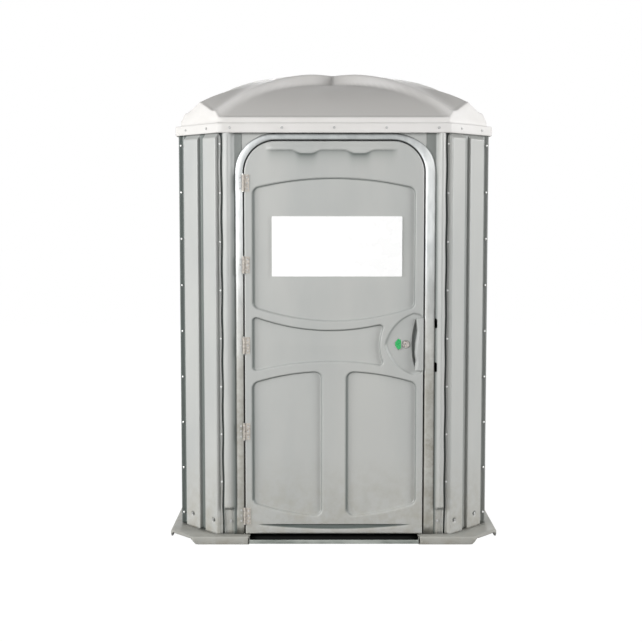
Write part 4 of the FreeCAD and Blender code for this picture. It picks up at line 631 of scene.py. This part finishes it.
def header_wall(name):
    """The front wall over the doorway arch."""
    half, radius, top = 431.5, 158.5, 1909.5
    turn = np.linspace(0, np.pi / 2, 26)
    flat = np.linspace(radius - half, half - radius, 40)[1:-1]
    x = np.concatenate([radius - half - radius * np.cos(turn), flat,
                        half - radius + radius * np.cos(turn[::-1])])
    z = np.concatenate([top - radius + radius * np.sin(turn), np.full(len(flat), top),
                        top - radius + radius * np.sin(turn[::-1])])
    points = grid(x, JAMB, z + (WALL_TOP - z) * np.linspace(0, 1, 14)[:, None])
    return thicken(net(name, points, hollow=np.zeros(points.shape[:2])), FRONT_SHEET)


def outer_rivet_heads():
    """The domed heads down the outer strip of each corner panel."""
    radius, height, sides = 5.2, 2.6, 12
    profile = ((0.0, 0.0), (0.35, 0.14), (0.7, 0.42), (0.93, 0.75), (1.0, 1.0), (1.0, 1.4))
    facing, across, upward = np.array(((0.26, -0.966, 0.0), (0.966, 0.26, 0.0), (0.0, 0.0, 1.0)))
    turns = np.linspace(0, 2 * np.pi, sides + 1)[:-1]
    corners, faces = [], []
    for sx, sy in ((1, 1), (-1, 1), (1, -1), (-1, -1)):
        for level in np.linspace(90.0, 1889.0, 9):
            start = len(corners)
            for spread, back in profile:
                middle = np.array((738.5, -548.6, level)) + facing * (3.4 - height * back)
                for turn in turns:
                    out = (across * math.cos(turn) + upward * math.sin(turn)) * spread * radius
                    corners.append((middle + out) * (sx * MM, sy * MM, MM))
            for row in range(len(profile) - 1):
                for k in range(sides):
                    a, b = start + row * sides + k, start + row * sides + (k + 1) % sides
                    face = (a, b, b + sides, a + sides)
                    faces.append(face if sx * sy < 0 else face[::-1])
    mesh = bpy.data.meshes.new("outer_rivet_heads")
    mesh.from_pydata(corners, [], faces)
    mesh.shade_smooth()
    mesh.validate()
    piece = bpy.data.objects.new("outer_rivet_heads", mesh)
    bpy.context.scene.collection.objects.link(piece)
    return piece


for place, sx, sy in (("front_right", 1, 1), ("front_left", -1, 1), ("rear_right", 1, -1), ("rear_left", -1, -1)):
    dress(corner_wall(f"corner_wall_{place}", sx, sy), "wall_plastic", "cabin", f"corner_panel_{place}")
vent_opening = (230, 1785, 1875)
for wall, half, rib_top, window, turn, node in (
        ("side_wall_right", 546.0, 1700.0, vent_opening, ((1, 0, 0), (0, 1, 0), (0, 0, 1)), "side_panel_right"),
        ("side_wall_left", 546.0, 1700.0, vent_opening, ((-1, 0, 0), (0, 1, 0), (0, 0, 1)), "side_panel_left"),
        ("back_wall", 540.4, 1912.0, None, ((0, 1, 0), (1, 0, 0), (0, 0, 1)), "back_panel")):
    dress(flat_wall(wall, half, rib_top, window, turn), "wall_plastic", "cabin", node)
for front in (doorway_wall("front_wall_right", 1), doorway_wall("front_wall_left", -1),
              header_wall("front_wall_head")):
    dress(front, "wall_plastic", "cabin", "front_panel")
dress(outer_rivet_heads(), "hinge_metal", "cabin", "seam_rivets_side", finish=rivet_aluminium)

# Roof: one soft moulding of four fields, two crossing hips and a rim

SHELF, ROOF_TOP, HIP_TOP = 1983.0, 2273.0, 2286.0


def roof_height(x, y):
    """The roof's upper face over a point of the plan, and how far that point lies in a field."""
    hip_radius, hip_half, hip_slope = 1784.0, 108.0, 1.25
    blend, cap = 7.0, 16.0
    side = np.maximum(abs(x), abs(y))
    field = 2216 - 217 * (side / 740) ** 3.4
    skew = (x + y) / ROOT2, (x - y) / ROOT2
    hips = []
    for along, across in (skew, skew[::-1]):
        crown = HIP_TOP - hip_radius + np.sqrt(np.maximum(hip_radius ** 2 - along ** 2, 0))
        crown = crown + 6 * np.exp(-((abs(along) - 520) / 200) ** 2) - 6 * (abs(along) / 905) ** 8
        fall = np.maximum(abs(across) - hip_half, 0)
        hips.append(crown - np.where(fall < 10, fall * fall / 20, fall - 5) * hip_slope)
    ridge, flat = np.maximum(*hips), ROOF_TOP - cap
    ridge = np.where(ridge > flat, flat + cap * np.tanh((ridge - flat) / cap), ridge)
    gap = ridge - field
    seam = np.where(abs(gap) < blend, (blend - abs(gap)) ** 2 / (4 * blend), 0)
    return np.maximum(field, ridge) + seam, ease(0.5 - gap / 30)


def roof():
    """The dome, its rolled edge, the flat shelf and the overhanging rim, with the wall's thickness."""
    counts = (60, 34)
    roll = ((0.9885, 0.04), (0.993, 0.12), (0.9967, 0.26), (0.9988, 0.45), (1.0, 0.7), (1.0, 0.93))
    rims = ((741, 202, 1982.2), (746, 205, 1981.4), (754, 212, 1981.0), (760, 217.5, 1980.2), (763, 220, 1978.0),
            (764, 221, 1974.0), (764, 221, 1966), (764, 221, 1952), (764, 221, 1941), (763.4, 220.5, 1937),
            (761.4, 219, 1935.2), (758, 216, 1935.0))
    dome = octagon_ring(738, 200, counts)
    rows, in_field = [], []
    for share in np.concatenate([[0.002], np.linspace(0.012, 0.984, 82)]):
        brim, field = roof_height(*(dome * share).T)
        rows.append(level_line(dome * share, brim))
        in_field.append(field)
    fall = SHELF - brim
    for share, drop in roll:
        part = np.minimum(drop * 18 / np.maximum(-fall, 18), 1) if drop < 0.5 else drop
        rows.append(level_line(dome * share, brim + fall * part))
    rows += [level_line(octagon_ring(half, leg, counts), z) for half, leg, z in rims]
    # The painted shade of the fields fades out over the first rows of the rolled edge
    in_field += [in_field[-1] * max(0, 1 - k / 3) for k in range(len(rows) - len(in_field))]
    skin = net("roof_moulding", np.stack(rows), closed=True, flip=True, hollow=np.stack(in_field))
    return thicken(skin, 4.0)


dress(roof(), "roof_plastic", "cabin", "roof_shell")

# Door face: one formed skin with soft recesses, the dished handle place and the finger cup

DOOR_HALF, DOOR_BOTTOM, DOOR_TOP, DOOR_RADIUS, DOOR_FRONT = 420.0, 39.0, 1898.0, 147.0, -746.0
HANDLE_LEVEL, FLAG_X, DISC_X = 947.0, 302.0, 339.0
FLAG_WINDOW = ((15, -21), (15, 21), (0, 28), (-15, 9), (-15, -9), (0, -28))


def inside_door(x, z):
    """How far inside the door's outline a point lies."""
    side, foot, head = DOOR_HALF - abs(x), z - DOOR_BOTTOM, DOOR_TOP - z
    corner = (side < DOOR_RADIUS) & (head < DOOR_RADIUS)
    arc = DOOR_RADIUS - np.hypot(DOOR_RADIUS - side, DOOR_RADIUS - head)
    return np.maximum(np.where(corner, arc, np.minimum(side, np.minimum(foot, head))), 0)


def field_outlines():
    """The recessed fields: each is the line of its corner centres, and its corner radius."""
    wide, tight = 34.0, 16.0
    inward = ((1, 1), (-1, 1), (-1, -1), (1, -1))
    for radius, corners in (
            (wide, ((-380, 1113, -56), (380, 1113, 0), (380, 1687, -40), (-380, 1687, 0))),
            (tight, ((-382, 822, 30), (231, 847, 14), (231, 1040, 42), (-382, 1074, 0))),
            (wide, ((-384, 178, -8), (-57, 127, 0), (-57, 817, -8), (-384, 772, 0))),
            (wide, ((59, 127, -8), (388, 178, 0), (388, 772, -8), (59, 817, 0)))):
        yield bowed([(x + dx * radius, z + dz * radius, bow)
                     for (x, z, bow), (dx, dz) in zip(corners, inward)]), radius


def edge_shade(reach, x, z, inset):
    """How much painted shade lies along an outline: most under its upper edge and behind its left one."""
    leftward = np.clip(-np.gradient(reach, axis=1) / np.gradient(x, axis=1), -1, 1)
    upward = np.clip(np.gradient(reach, axis=0) / np.gradient(z, axis=0), -1, 1)
    amount = 0.14 + 0.86 * np.maximum(leftward, 0) + 0.62 * np.maximum(-leftward, 0) ** 2 \
        + 0.86 * np.maximum(upward, 0) ** 2
    width = 2.6 + 4.2 * np.maximum(leftward, 0) ** 2
    return np.clip(amount, 0, 1) * np.exp(-(abs(reach + inset) / width) ** 2.5)


def door_depth(x, z):
    """How deep the door's face lies behind its front plane, and where painted shade lies on it."""
    depth, painted_shade = np.zeros_like(x), np.zeros_like(x)
    for outline, radius in field_outlines():
        reach = reach_of(outline, x, z, 60.0) - radius
        field_depth = 13.0 - 2.5 * ease(-reach / 170)
        depth = np.maximum(depth, ease(0.5 - reach / 9.0) * field_depth)
        painted_shade = np.maximum(painted_shade, edge_shade(reach, x, z, 1.5))
    # The raised band at the head, with two lobes hanging from it, and painted shade under it
    lobe_drop, lobe_half, band_height = 17.0, 52.0, 8.0
    lobes = sum(lobe_drop * np.exp(-((x - middle) / lobe_half) ** 4) for middle in (-129, 118))
    ledge = 1857 - lobes
    ends = ease((x + 325) / 40) * ease((305 - x) / 40)
    depth -= band_height * ease(0.5 + (z - ledge) / 13) * ease((1893 - z) / 32) * ends
    under = np.exp(-np.maximum(ledge - 4 - z, 0) / 24) * ease((ledge + 4 - z) / 5)
    painted_shade = np.maximum(painted_shade, 0.95 * (0.6 + 0.4 * ease((1855 - ledge) / 14)) * under * ends)
    # The crescent at the foot: a scoop under a straight crest, with painted shade in the scoop
    crest, scoop_half, scoop_depth = 85.0, 372.0, 13.0
    foot = np.clip(1 - (x / scoop_half) ** 2, 0, 1)
    trough, tips = crest - 21.0 * foot, ease(foot * 5)
    depth += scoop_depth * ease((crest + 2 - z) / 5) * ease((z - trough + 4) / 14) * tips
    depth -= 2.5 * ease((trough + 2 - z) / 12) * ease((z - DOOR_BOTTOM) / 9) * tips
    painted_shade = np.maximum(painted_shade, ease((crest + 2 - z) / 3) * ease((z - trough + 3) / 5) * tips)
    return depth, painted_shade


def grip_edge(z):
    """The wavy edge between the finger cup and the grip."""
    return np.interp(z, (820, 828, 868, 903, 947, 1012, 1062, 1072), (380, 381, 388, 383, 385, 395, 388.5, 387))


def handle_depth(x, z):
    """The dished handle place, the cup for the fingers, and the painted shade in them."""
    radius, dish_depth, cup_depth, cup_half, cup_level = 26.0, 8.0, 19.0, 121.0, 946.5
    outline = bowed([(243 + radius, HANDLE_LEVEL, -20), (378, 802 + radius, 0), (392, 806 + radius, 0),
                     (392, 1090 - radius, 0), (378, 1094 - radius, -20)])
    reach = reach_of(outline, x, z, 60.0) - radius
    dish = ease(0.5 - reach / 12.0) * (dish_depth + 3.0 * ease(-reach / 50))
    up = np.clip((z - cup_level) / cup_half, -1, 1)
    left = 386 - 19.5 * (1 - up * up) - 2 * ease(-up)
    side = np.minimum(x - left, grip_edge(z) - x)
    in_cup = ease((side + 1.0) / 7) * (abs(z - cup_level) < cup_half)
    # Painted shade: the finger cup darkening towards the grip, a dark ring round the slotted disc, and a fainter
    # line round the dish
    shaded = in_cup * (0.3 + 0.45 * ease((x - left) / 16))
    disc_ring_shade = 0.75 * np.exp(-(abs(np.hypot(x - DISC_X, z - HANDLE_LEVEL) - 18.2) / 2.2) ** 3)
    return dish, cup_depth * in_cup, np.maximum(np.maximum(shaded, disc_ring_shade),
                                                0.45 * edge_shade(reach, x, z, 1.0))


def door_face():
    """The whole front skin of the door as one height field, turned back at its edge."""
    roll, back = 7.0, -724.3
    levels = heights((DOOR_BOTTOM, 1.0), (46, 2.0), (100, 4.0), (780, 2.5), (1110, 4.0), (1740, 4.0),
                     (1878, 2.0), (DOOR_TOP - 3, 0.75), (DOOR_TOP, 1))
    head = np.maximum(levels - (DOOR_TOP - DOOR_RADIUS), 0)
    width = DOOR_HALF - DOOR_RADIUS + np.sqrt(np.maximum(DOOR_RADIUS ** 2 - head ** 2, 0))
    across = heights((-DOOR_HALF, 1.0), (-414, 2.5), (-374, 4.0), (226, 2.0), (412, 1.5), (DOOR_HALF, 1))
    x = across / DOOR_HALF * width[:, None]
    z = levels[:, None] * np.ones_like(x)
    depth, painted_shade = door_depth(x, z)
    dish, cup, handle_shade = handle_depth(x, z)
    depth = np.where(dish > 0.01, np.maximum(depth, dish), depth) + cup
    depth += roll - np.sqrt(roll ** 2 - (roll - np.minimum(inside_door(x, z), roll)) ** 2)
    skirt = np.pad(np.stack([x, DOOR_FRONT + depth, z], -1), ((1, 1), (1, 1), (0, 0)), mode="edge")
    skirt[0, :, 1] = skirt[-1, :, 1] = skirt[:, 0, 1] = skirt[:, -1, 1] = back
    painted_shade = np.pad(np.maximum(painted_shade, handle_shade), 1)
    window = bowed([(FLAG_X + dx, HANDLE_LEVEL + dz, 0) for dx, dz in FLAG_WINDOW], 2)
    spindle_hole = np.hypot(x - DISC_X, z - HANDLE_LEVEL) < 5.5
    solid = ~((reach_of(window, x, z, 20.0) < 0.5) | spindle_hole)
    keep = np.ones((len(levels) + 1, len(across) + 1), bool)
    keep[1:-1, 1:-1] = solid[:-1, :-1] | solid[1:, 1:] | solid[:-1, 1:] | solid[1:, :-1]
    return thicken(net("door_face", skirt, keep=keep, hollow=painted_shade), 3.0)


def door_grip():
    """The bulged grip beside the finger cup, cut off square at its foot."""
    foot, top, sides = 824.0, 1071.0, 36
    levels = heights((foot, 1.2), (831, 5.0), (top, 1))
    along = (levels - foot) / (top - foot)
    swell = (1 - np.maximum(along * 1.15 - 0.15, 0) ** 2.4) * ease((levels - foot + 1.6) / 4) ** 0.5
    turn = np.linspace(0, 2 * np.pi, sides + 1)[:-1]
    width = np.sign(np.cos(turn)) * abs(np.cos(turn)) ** 0.7
    lift = np.sign(np.sin(turn)) * abs(np.sin(turn)) ** 0.85
    rows = []
    for level, swelling, left in zip(levels, swell, grip_edge(levels) + 1.0):
        right = DOOR_HALF + 0.5
        front = np.where(lift > 0, lift * (1.5 + 12.5 * swelling), lift * 14)
        rows.append(grid((left + right) / 2 + (right - left) / 2 * width, DOOR_FRONT - front, level))
    caps = []
    for end in (rows[0], rows[-1]):
        middle = (end[:, 0].min() + end[:, 0].max()) / 2
        caps.append(grid(middle, DOOR_FRONT, end[:, 2]))
    return net("door_grip", np.stack([caps[0]] + rows + [caps[1]]), closed=True, flip=True)


def window_bezel():
    """The moulded bead round the six-sided indicator window."""
    section = ((-0.6, 3.0), (-0.6, -0.8), (0.4, -1.8), (2.0, -2.0), (3.4, -1.2), (4.0, 0.6))
    rows = []
    for grow, out in section:
        ring = [(FLAG_X + dx * (1 + grow / 16), HANDLE_LEVEL + dz * (1 + grow / 26)) for dx, dz in FLAG_WINDOW]
        rows.append(front_line(walked(ring + ring[:1], 2.4)[:-1], -735.2 + out))
    count = min(len(row) for row in rows)
    rows = [row[np.linspace(0, len(row) - 1, count).astype(int)] for row in rows]
    return net("window_bezel", np.stack(rows), closed=True, flip=True)


dress(door_face(), "wall_plastic", "door", "door_outer_skin", "handle_pod")
dress(door_grip(), "wall_plastic", "door", "door_pull")
dress(window_bezel(), "wall_plastic", "door")

# Door frame: one bent aluminium section, rounded across its face


def arch_path(half, foot, top, radius):
    """Points and outward directions up one jamb, over the arch and down the other."""
    jamb = [((-half, z), (-1.0, 0.0)) for z in np.linspace(foot, top - radius, 40)[:-1]]
    bend = []
    for turn in np.linspace(0, np.pi / 2, 22):
        out = (-math.cos(turn), math.sin(turn))
        bend.append(((radius - half + out[0] * radius, top - radius + out[1] * radius), out))
    head = [((x, top), (0.0, 1.0)) for x in np.linspace(radius - half, half - radius, 24)[1:-1]]
    path = np.array(jamb + bend + head)
    path = np.concatenate([path, path[len(jamb) + len(bend) - 1::-1] * (-1, 1)])
    return path[:, 0], path[:, 1]


def door_surround():
    """The frame: a stop lip, a deep return and a face with rounded edges, widest down the latch side."""
    places, outs = arch_path(428.0, WALL_FOOT, 1906.0, 155.0)
    width = 28 + np.where(places[:, 0] > 0, 16, 5) * ease(outs[:, 0] ** 2)
    # Each corner of the section: its distance out, its share of the face's width, its depth
    section = ((-20, 0, -694.2), (-20, 0, -697.0), (-2, 0, -697.0), (-0.4, 0, -698.6), (0, 0, -702),
               (0, 0, -732), (0.5, 0, -735.4), (2.2, 0, -737.6), (5.0, 0, -738.6), (0, 0.35, -739.0),
               (0, 0.65, -738.9), (-5.5, 1, -738.0), (-2.4, 1, -736.8), (-0.6, 1, -735.4), (0, 1, -734.1))
    rows = [front_line(places + outs * (offset + share * width)[:, None], y) for offset, share, y in section]
    return thicken(net("door_surround", np.stack(rows), flip=True), 2.4)


dress(door_surround(), "frame_metal", "cabin", "door_frame")

# Base: ledge with a rolled edge, feet and arches, floor, curb and runners

BASE_HALF, BASE_CORNER, LEDGE, STEP_HALF = 787.0, 120.0, 36.0, 402.0
FLOOR_LEVEL, CURB_STEPS = 20.0, (12, 60)


def base_ledge():
    """The ledge round three and a half sides, open at the doorstep, with its feet; and its rows."""
    inner_half, inner_corner, counts = 719.0, 182.0, (20, 90)

    def open_ring(half, leg):
        near = half - leg
        start = [(STEP_HALF + (near - STEP_HALF) * k / 24, -half) for k in range(24)]
        body = [tuple(point) for point in octagon_ring(half, leg, counts)[:-counts[1]]]
        return np.array(start + body + [(-near, -half)] + [(-x, y) for x, y in start[::-1]])

    outer, inner = open_ring(BASE_HALF, BASE_CORNER), open_ring(inner_half, inner_corner)
    # Its lower edge is on the ground along each side, and raised under the corners
    low = 27.0 * ease((abs(outer).min(1) - 652) / 32)
    # Each corner of the section: its distance in, its lift, and its share of the height over the lower edge
    width = 68.5
    section = ((width, 0, 1), (40, 0.2, 1), (16, 0.6, 1), (9, 1.0, 1), (5, 0.6, 1), (2.2, -0.8, 1),
               (0.7, -2.8, 1), (0, -5.5, 1), (0, 0, 0.5), (0, 3.0, 0), (0.8, 1.0, 0), (2.4, 0, 0), (7, 0, 0))
    rows = np.stack([level_line(outer + (inner - outer) * inset / width, lift + low + (LEDGE - low) * share)
                     for inset, lift, share in section])
    return thicken(net("base_ledge", rows, flip=True), 4.5), rows


def ledge_end(name, edge, side):
    """The closed end of the ledge beside the doorstep."""
    front = edge.copy()
    front[:, 2] = np.maximum(edge[:, 2], 4.2)
    back = front.copy()
    back[:, 1] = -742.0
    return thicken(net(name, np.stack([front, back], 1), flip=side < 0), 4.0)


def base_floor():
    """The moulded floor inside the curb."""
    ring = octagon_ring(720.0, 181.0, CURB_STEPS)
    rows = [level_line(ring * share, FLOOR_LEVEL) for share in np.linspace(0.01, 1.0, 26)]
    return thicken(net("base_floor", np.stack(rows), closed=True, flip=True), 5.0)


def doorstep():
    """The floor's tongue in the doorway, sunk for the tread."""
    y = np.array([-780.0, -760.0, -737.0, -735.5, -733.5, -722.0, -712.0])[:, None]
    points = grid(np.linspace(-STEP_HALF, STEP_HALF, 42), y, 19.8 - 12.5 * ease((JAMB - y) / 2))
    return thicken(net("doorstep", points), 5.0)


def base_curb():
    """The upstand that the walls are screwed to, broken at the doorway."""
    outer, inner = octagon_ring(721.0, 182.0, CURB_STEPS), octagon_ring(716.0, 180.0, CURB_STEPS)
    rows = [level_line(outer, z) for z in (FLOOR_LEVEL, 60.0, 100.0, 126.0, 129.5)]
    rows += [level_line(inner, z) for z in (130.0, 127.0, FLOOR_LEVEL)]
    middle = (outer + np.roll(outer, -1, 0)) / 2
    doorway = (middle[:, 1] < -700) & (abs(middle[:, 0]) < 436)
    keep = np.repeat(~doorway[None, :], len(rows) - 1, 0)
    return net("base_curb", np.stack(rows), closed=True, keep=keep, flip=True)


def base_runner(name, middle):
    """One hollow runner under the floor, on its section of x and z."""
    x, z = np.array(((-30, 12.0), (-29, 5.6), (-27, 4.3), (27, 4.3), (29, 5.6), (30, 12.0))).T[..., None]
    return thicken(net(name, grid(middle + x, np.linspace(-712, 712, 24), z), flip=True), 4.0)


def bar_across(name, section, half, count, thickness_mm):
    """A bar across the doorway, drawn out on its section of y and z."""
    y, z = np.array(section).T[..., None]
    return thicken(net(name, grid(np.linspace(-half, half, count), y, z)), thickness_mm)


def threshold_bar():
    """The step edge: a round-nosed bar with a sunk tread behind it."""
    section = ((-775, 2.5), (-782.6, 2.5), (-785.6, 3.6), (-786.4, 7), (-786.4, 18), (-785.8, 21), (-784.4, 22.5),
               (-782.4, 21.5), (-781.8, 18), (-781.5, 9), (-779, 8.2), (-738, 8.2), (-736.5, 9.2), (-736, 20))
    return bar_across("threshold_bar", section, 401.0, 40, 1.6)


def sill_shade_sheet():
    """The ribbed rubber tread behind the step edge and on into the doorway, under the door: a near-black sheet
    that stands for the shadow there, as painted shade.
    """
    section = [(-781.0, 8.4), (-780.6, 9.6)]
    for k in range(6):
        y = -779.6 + 7.2 * k
        section += [(y, 10.2), (y + 4.0, 10.2), (y + 4.8, 9.0), (y + 6.6, 9.0)]
    section += [(-738.0, 9.4), (-737.4, 11.0), (-737.2, 21.0), (-735.5, 22.2), (-733, 22.4), (-694, 22.4),
                (-692, 20.6)]
    return bar_across("sill_shade_sheet", section, 400.5, 24, 0.4)


ledge, ledge_rows = base_ledge()
for moulding in (ledge, ledge_end("ledge_end_right", ledge_rows[:, 0], 1),
                 ledge_end("ledge_end_left", ledge_rows[:, -1], -1), base_floor(), doorstep(), base_curb()):
    dress(moulding, "base_plastic", "cabin", "base_pan")
dress(threshold_bar(), "frame_metal", "cabin", "threshold_strip", finish=worn_step_aluminium())
# Painted shade: the near-black tread fills the shadow under the door
dress(sill_shade_sheet(), "seal_rubber", "cabin", finish=shade_black_rubber())
for i in range(7):
    dress(base_runner(f"base_runner_{i + 1}", (i - 3) * 218.0), "base_plastic", "cabin", "base_pan")

# Floor, light and camera


def seen_directly(tree):
    """1 for a ray that shows the background, also in metal or glass, and 0 for one that carries light."""
    path = add(tree, "ShaderNodeLightPath")
    seen = path.outputs["Is Camera Ray"]
    for ray in ("Is Glossy Ray", "Is Transmission Ray"):
        seen = add(tree, "ShaderNodeMath", {"operation": "MAXIMUM"}, {0: seen, 1: path.outputs[ray]}).outputs[0]
    return seen


def stage_floor():
    """A plain grey floor that shows as nearly white, with the cabin's soft shadow on it."""
    reach, share_of_white = 40.0, 0.9
    mesh = bpy.data.meshes.new("floor")
    mesh.from_pydata([(-reach, -reach, 0), (reach, -reach, 0), (reach, reach, 0), (-reach, reach, 0)],
                     [], [(0, 1, 2, 3)])
    floor = bpy.data.objects.new("floor", mesh)
    bpy.context.scene.collection.objects.link(floor)
    surface = Finish("white_floor", "#9C9C9A", 0.9)
    tree = surface.tree
    share = add(tree, "ShaderNodeMath", {"operation": "MULTIPLY", 1: share_of_white}, {0: seen_directly(tree)})
    glow = add(tree, "ShaderNodeEmission", {"Color": (1, 1, 1, 1), "Strength": 1.1})
    mixed = add(tree, "ShaderNodeMixShader", {}, {0: share.outputs[0], 1: surface.shader.outputs[0],
                                                  2: glow.outputs[0]})
    tree.links.new(mixed.outputs[0], tree.nodes["Material Output"].inputs["Surface"])
    floor.data.materials.append(surface.material)


def surroundings():
    """A white room: it shows as white, and only fills in the shadows as a light."""
    fill, white = 0.05, 1.0
    world = bpy.data.worlds.new("white_room")
    bpy.context.scene.world = world
    world.use_nodes = True
    tree = world.node_tree
    room = tree.nodes["Background"]
    room.inputs["Color"].default_value = (1, 1, 1, 1)
    level = add(tree, "ShaderNodeMapRange", {"To Min": fill, "To Max": white}, {"Value": seen_directly(tree)})
    tree.links.new(level.outputs[0], room.inputs["Strength"])


def lamp(name, place, target, size, power):
    """A square soft box of a size in metres and a power in watts, that faces target."""
    light = bpy.data.lights.new(name, "AREA")
    light.shape = "SQUARE"
    light.size = size
    light.energy = power
    holder = bpy.data.objects.new(name, light)
    holder.location = place
    holder.rotation_euler = (Vector(target) - Vector(place)).to_track_quat("-Z", "Y").to_euler()
    bpy.context.scene.collection.objects.link(holder)


def camera():
    """The photograph's view: eye height 1.55 m, 4.9 m in front of the base, a little left of centre."""
    tilt_down = 0.070
    lens = bpy.data.cameras.new("camera")
    lens.sensor_width = 36.0
    lens.lens = 59.42
    lens.shift_y = -0.0483
    lens.clip_end = 200.0
    lens.dof.use_dof = False
    holder = bpy.data.objects.new("camera", lens)
    holder.location = (-0.0615, -5.7025, 1.5519)
    holder.rotation_euler = (math.pi / 2 - tilt_down, 0, 0)
    bpy.context.scene.collection.objects.link(holder)
    bpy.context.scene.camera = holder


stage_floor()
surroundings()
lamp("left_front", (-4.2, -6.0, 2.9), (0, 0, 1.2), 2.4, 285)
lamp("left_side", (-6.8, -3.2, 2.6), (0, 0, 1.2), 2.4, 285)
lamp("right_side", (6.8, -3.2, 2.6), (0, 0, 1.2), 2.4, 385)
lamp("upper_right", (5.6, 0.6, 3.9), (0, 0, 2.15), 1.2, 60)
lamp("behind", (0.0, 8.5, 3.5), (0, 0, 1.2), 3.0, 330)
camera()
bpy.context.scene.view_settings.view_transform = "Standard"
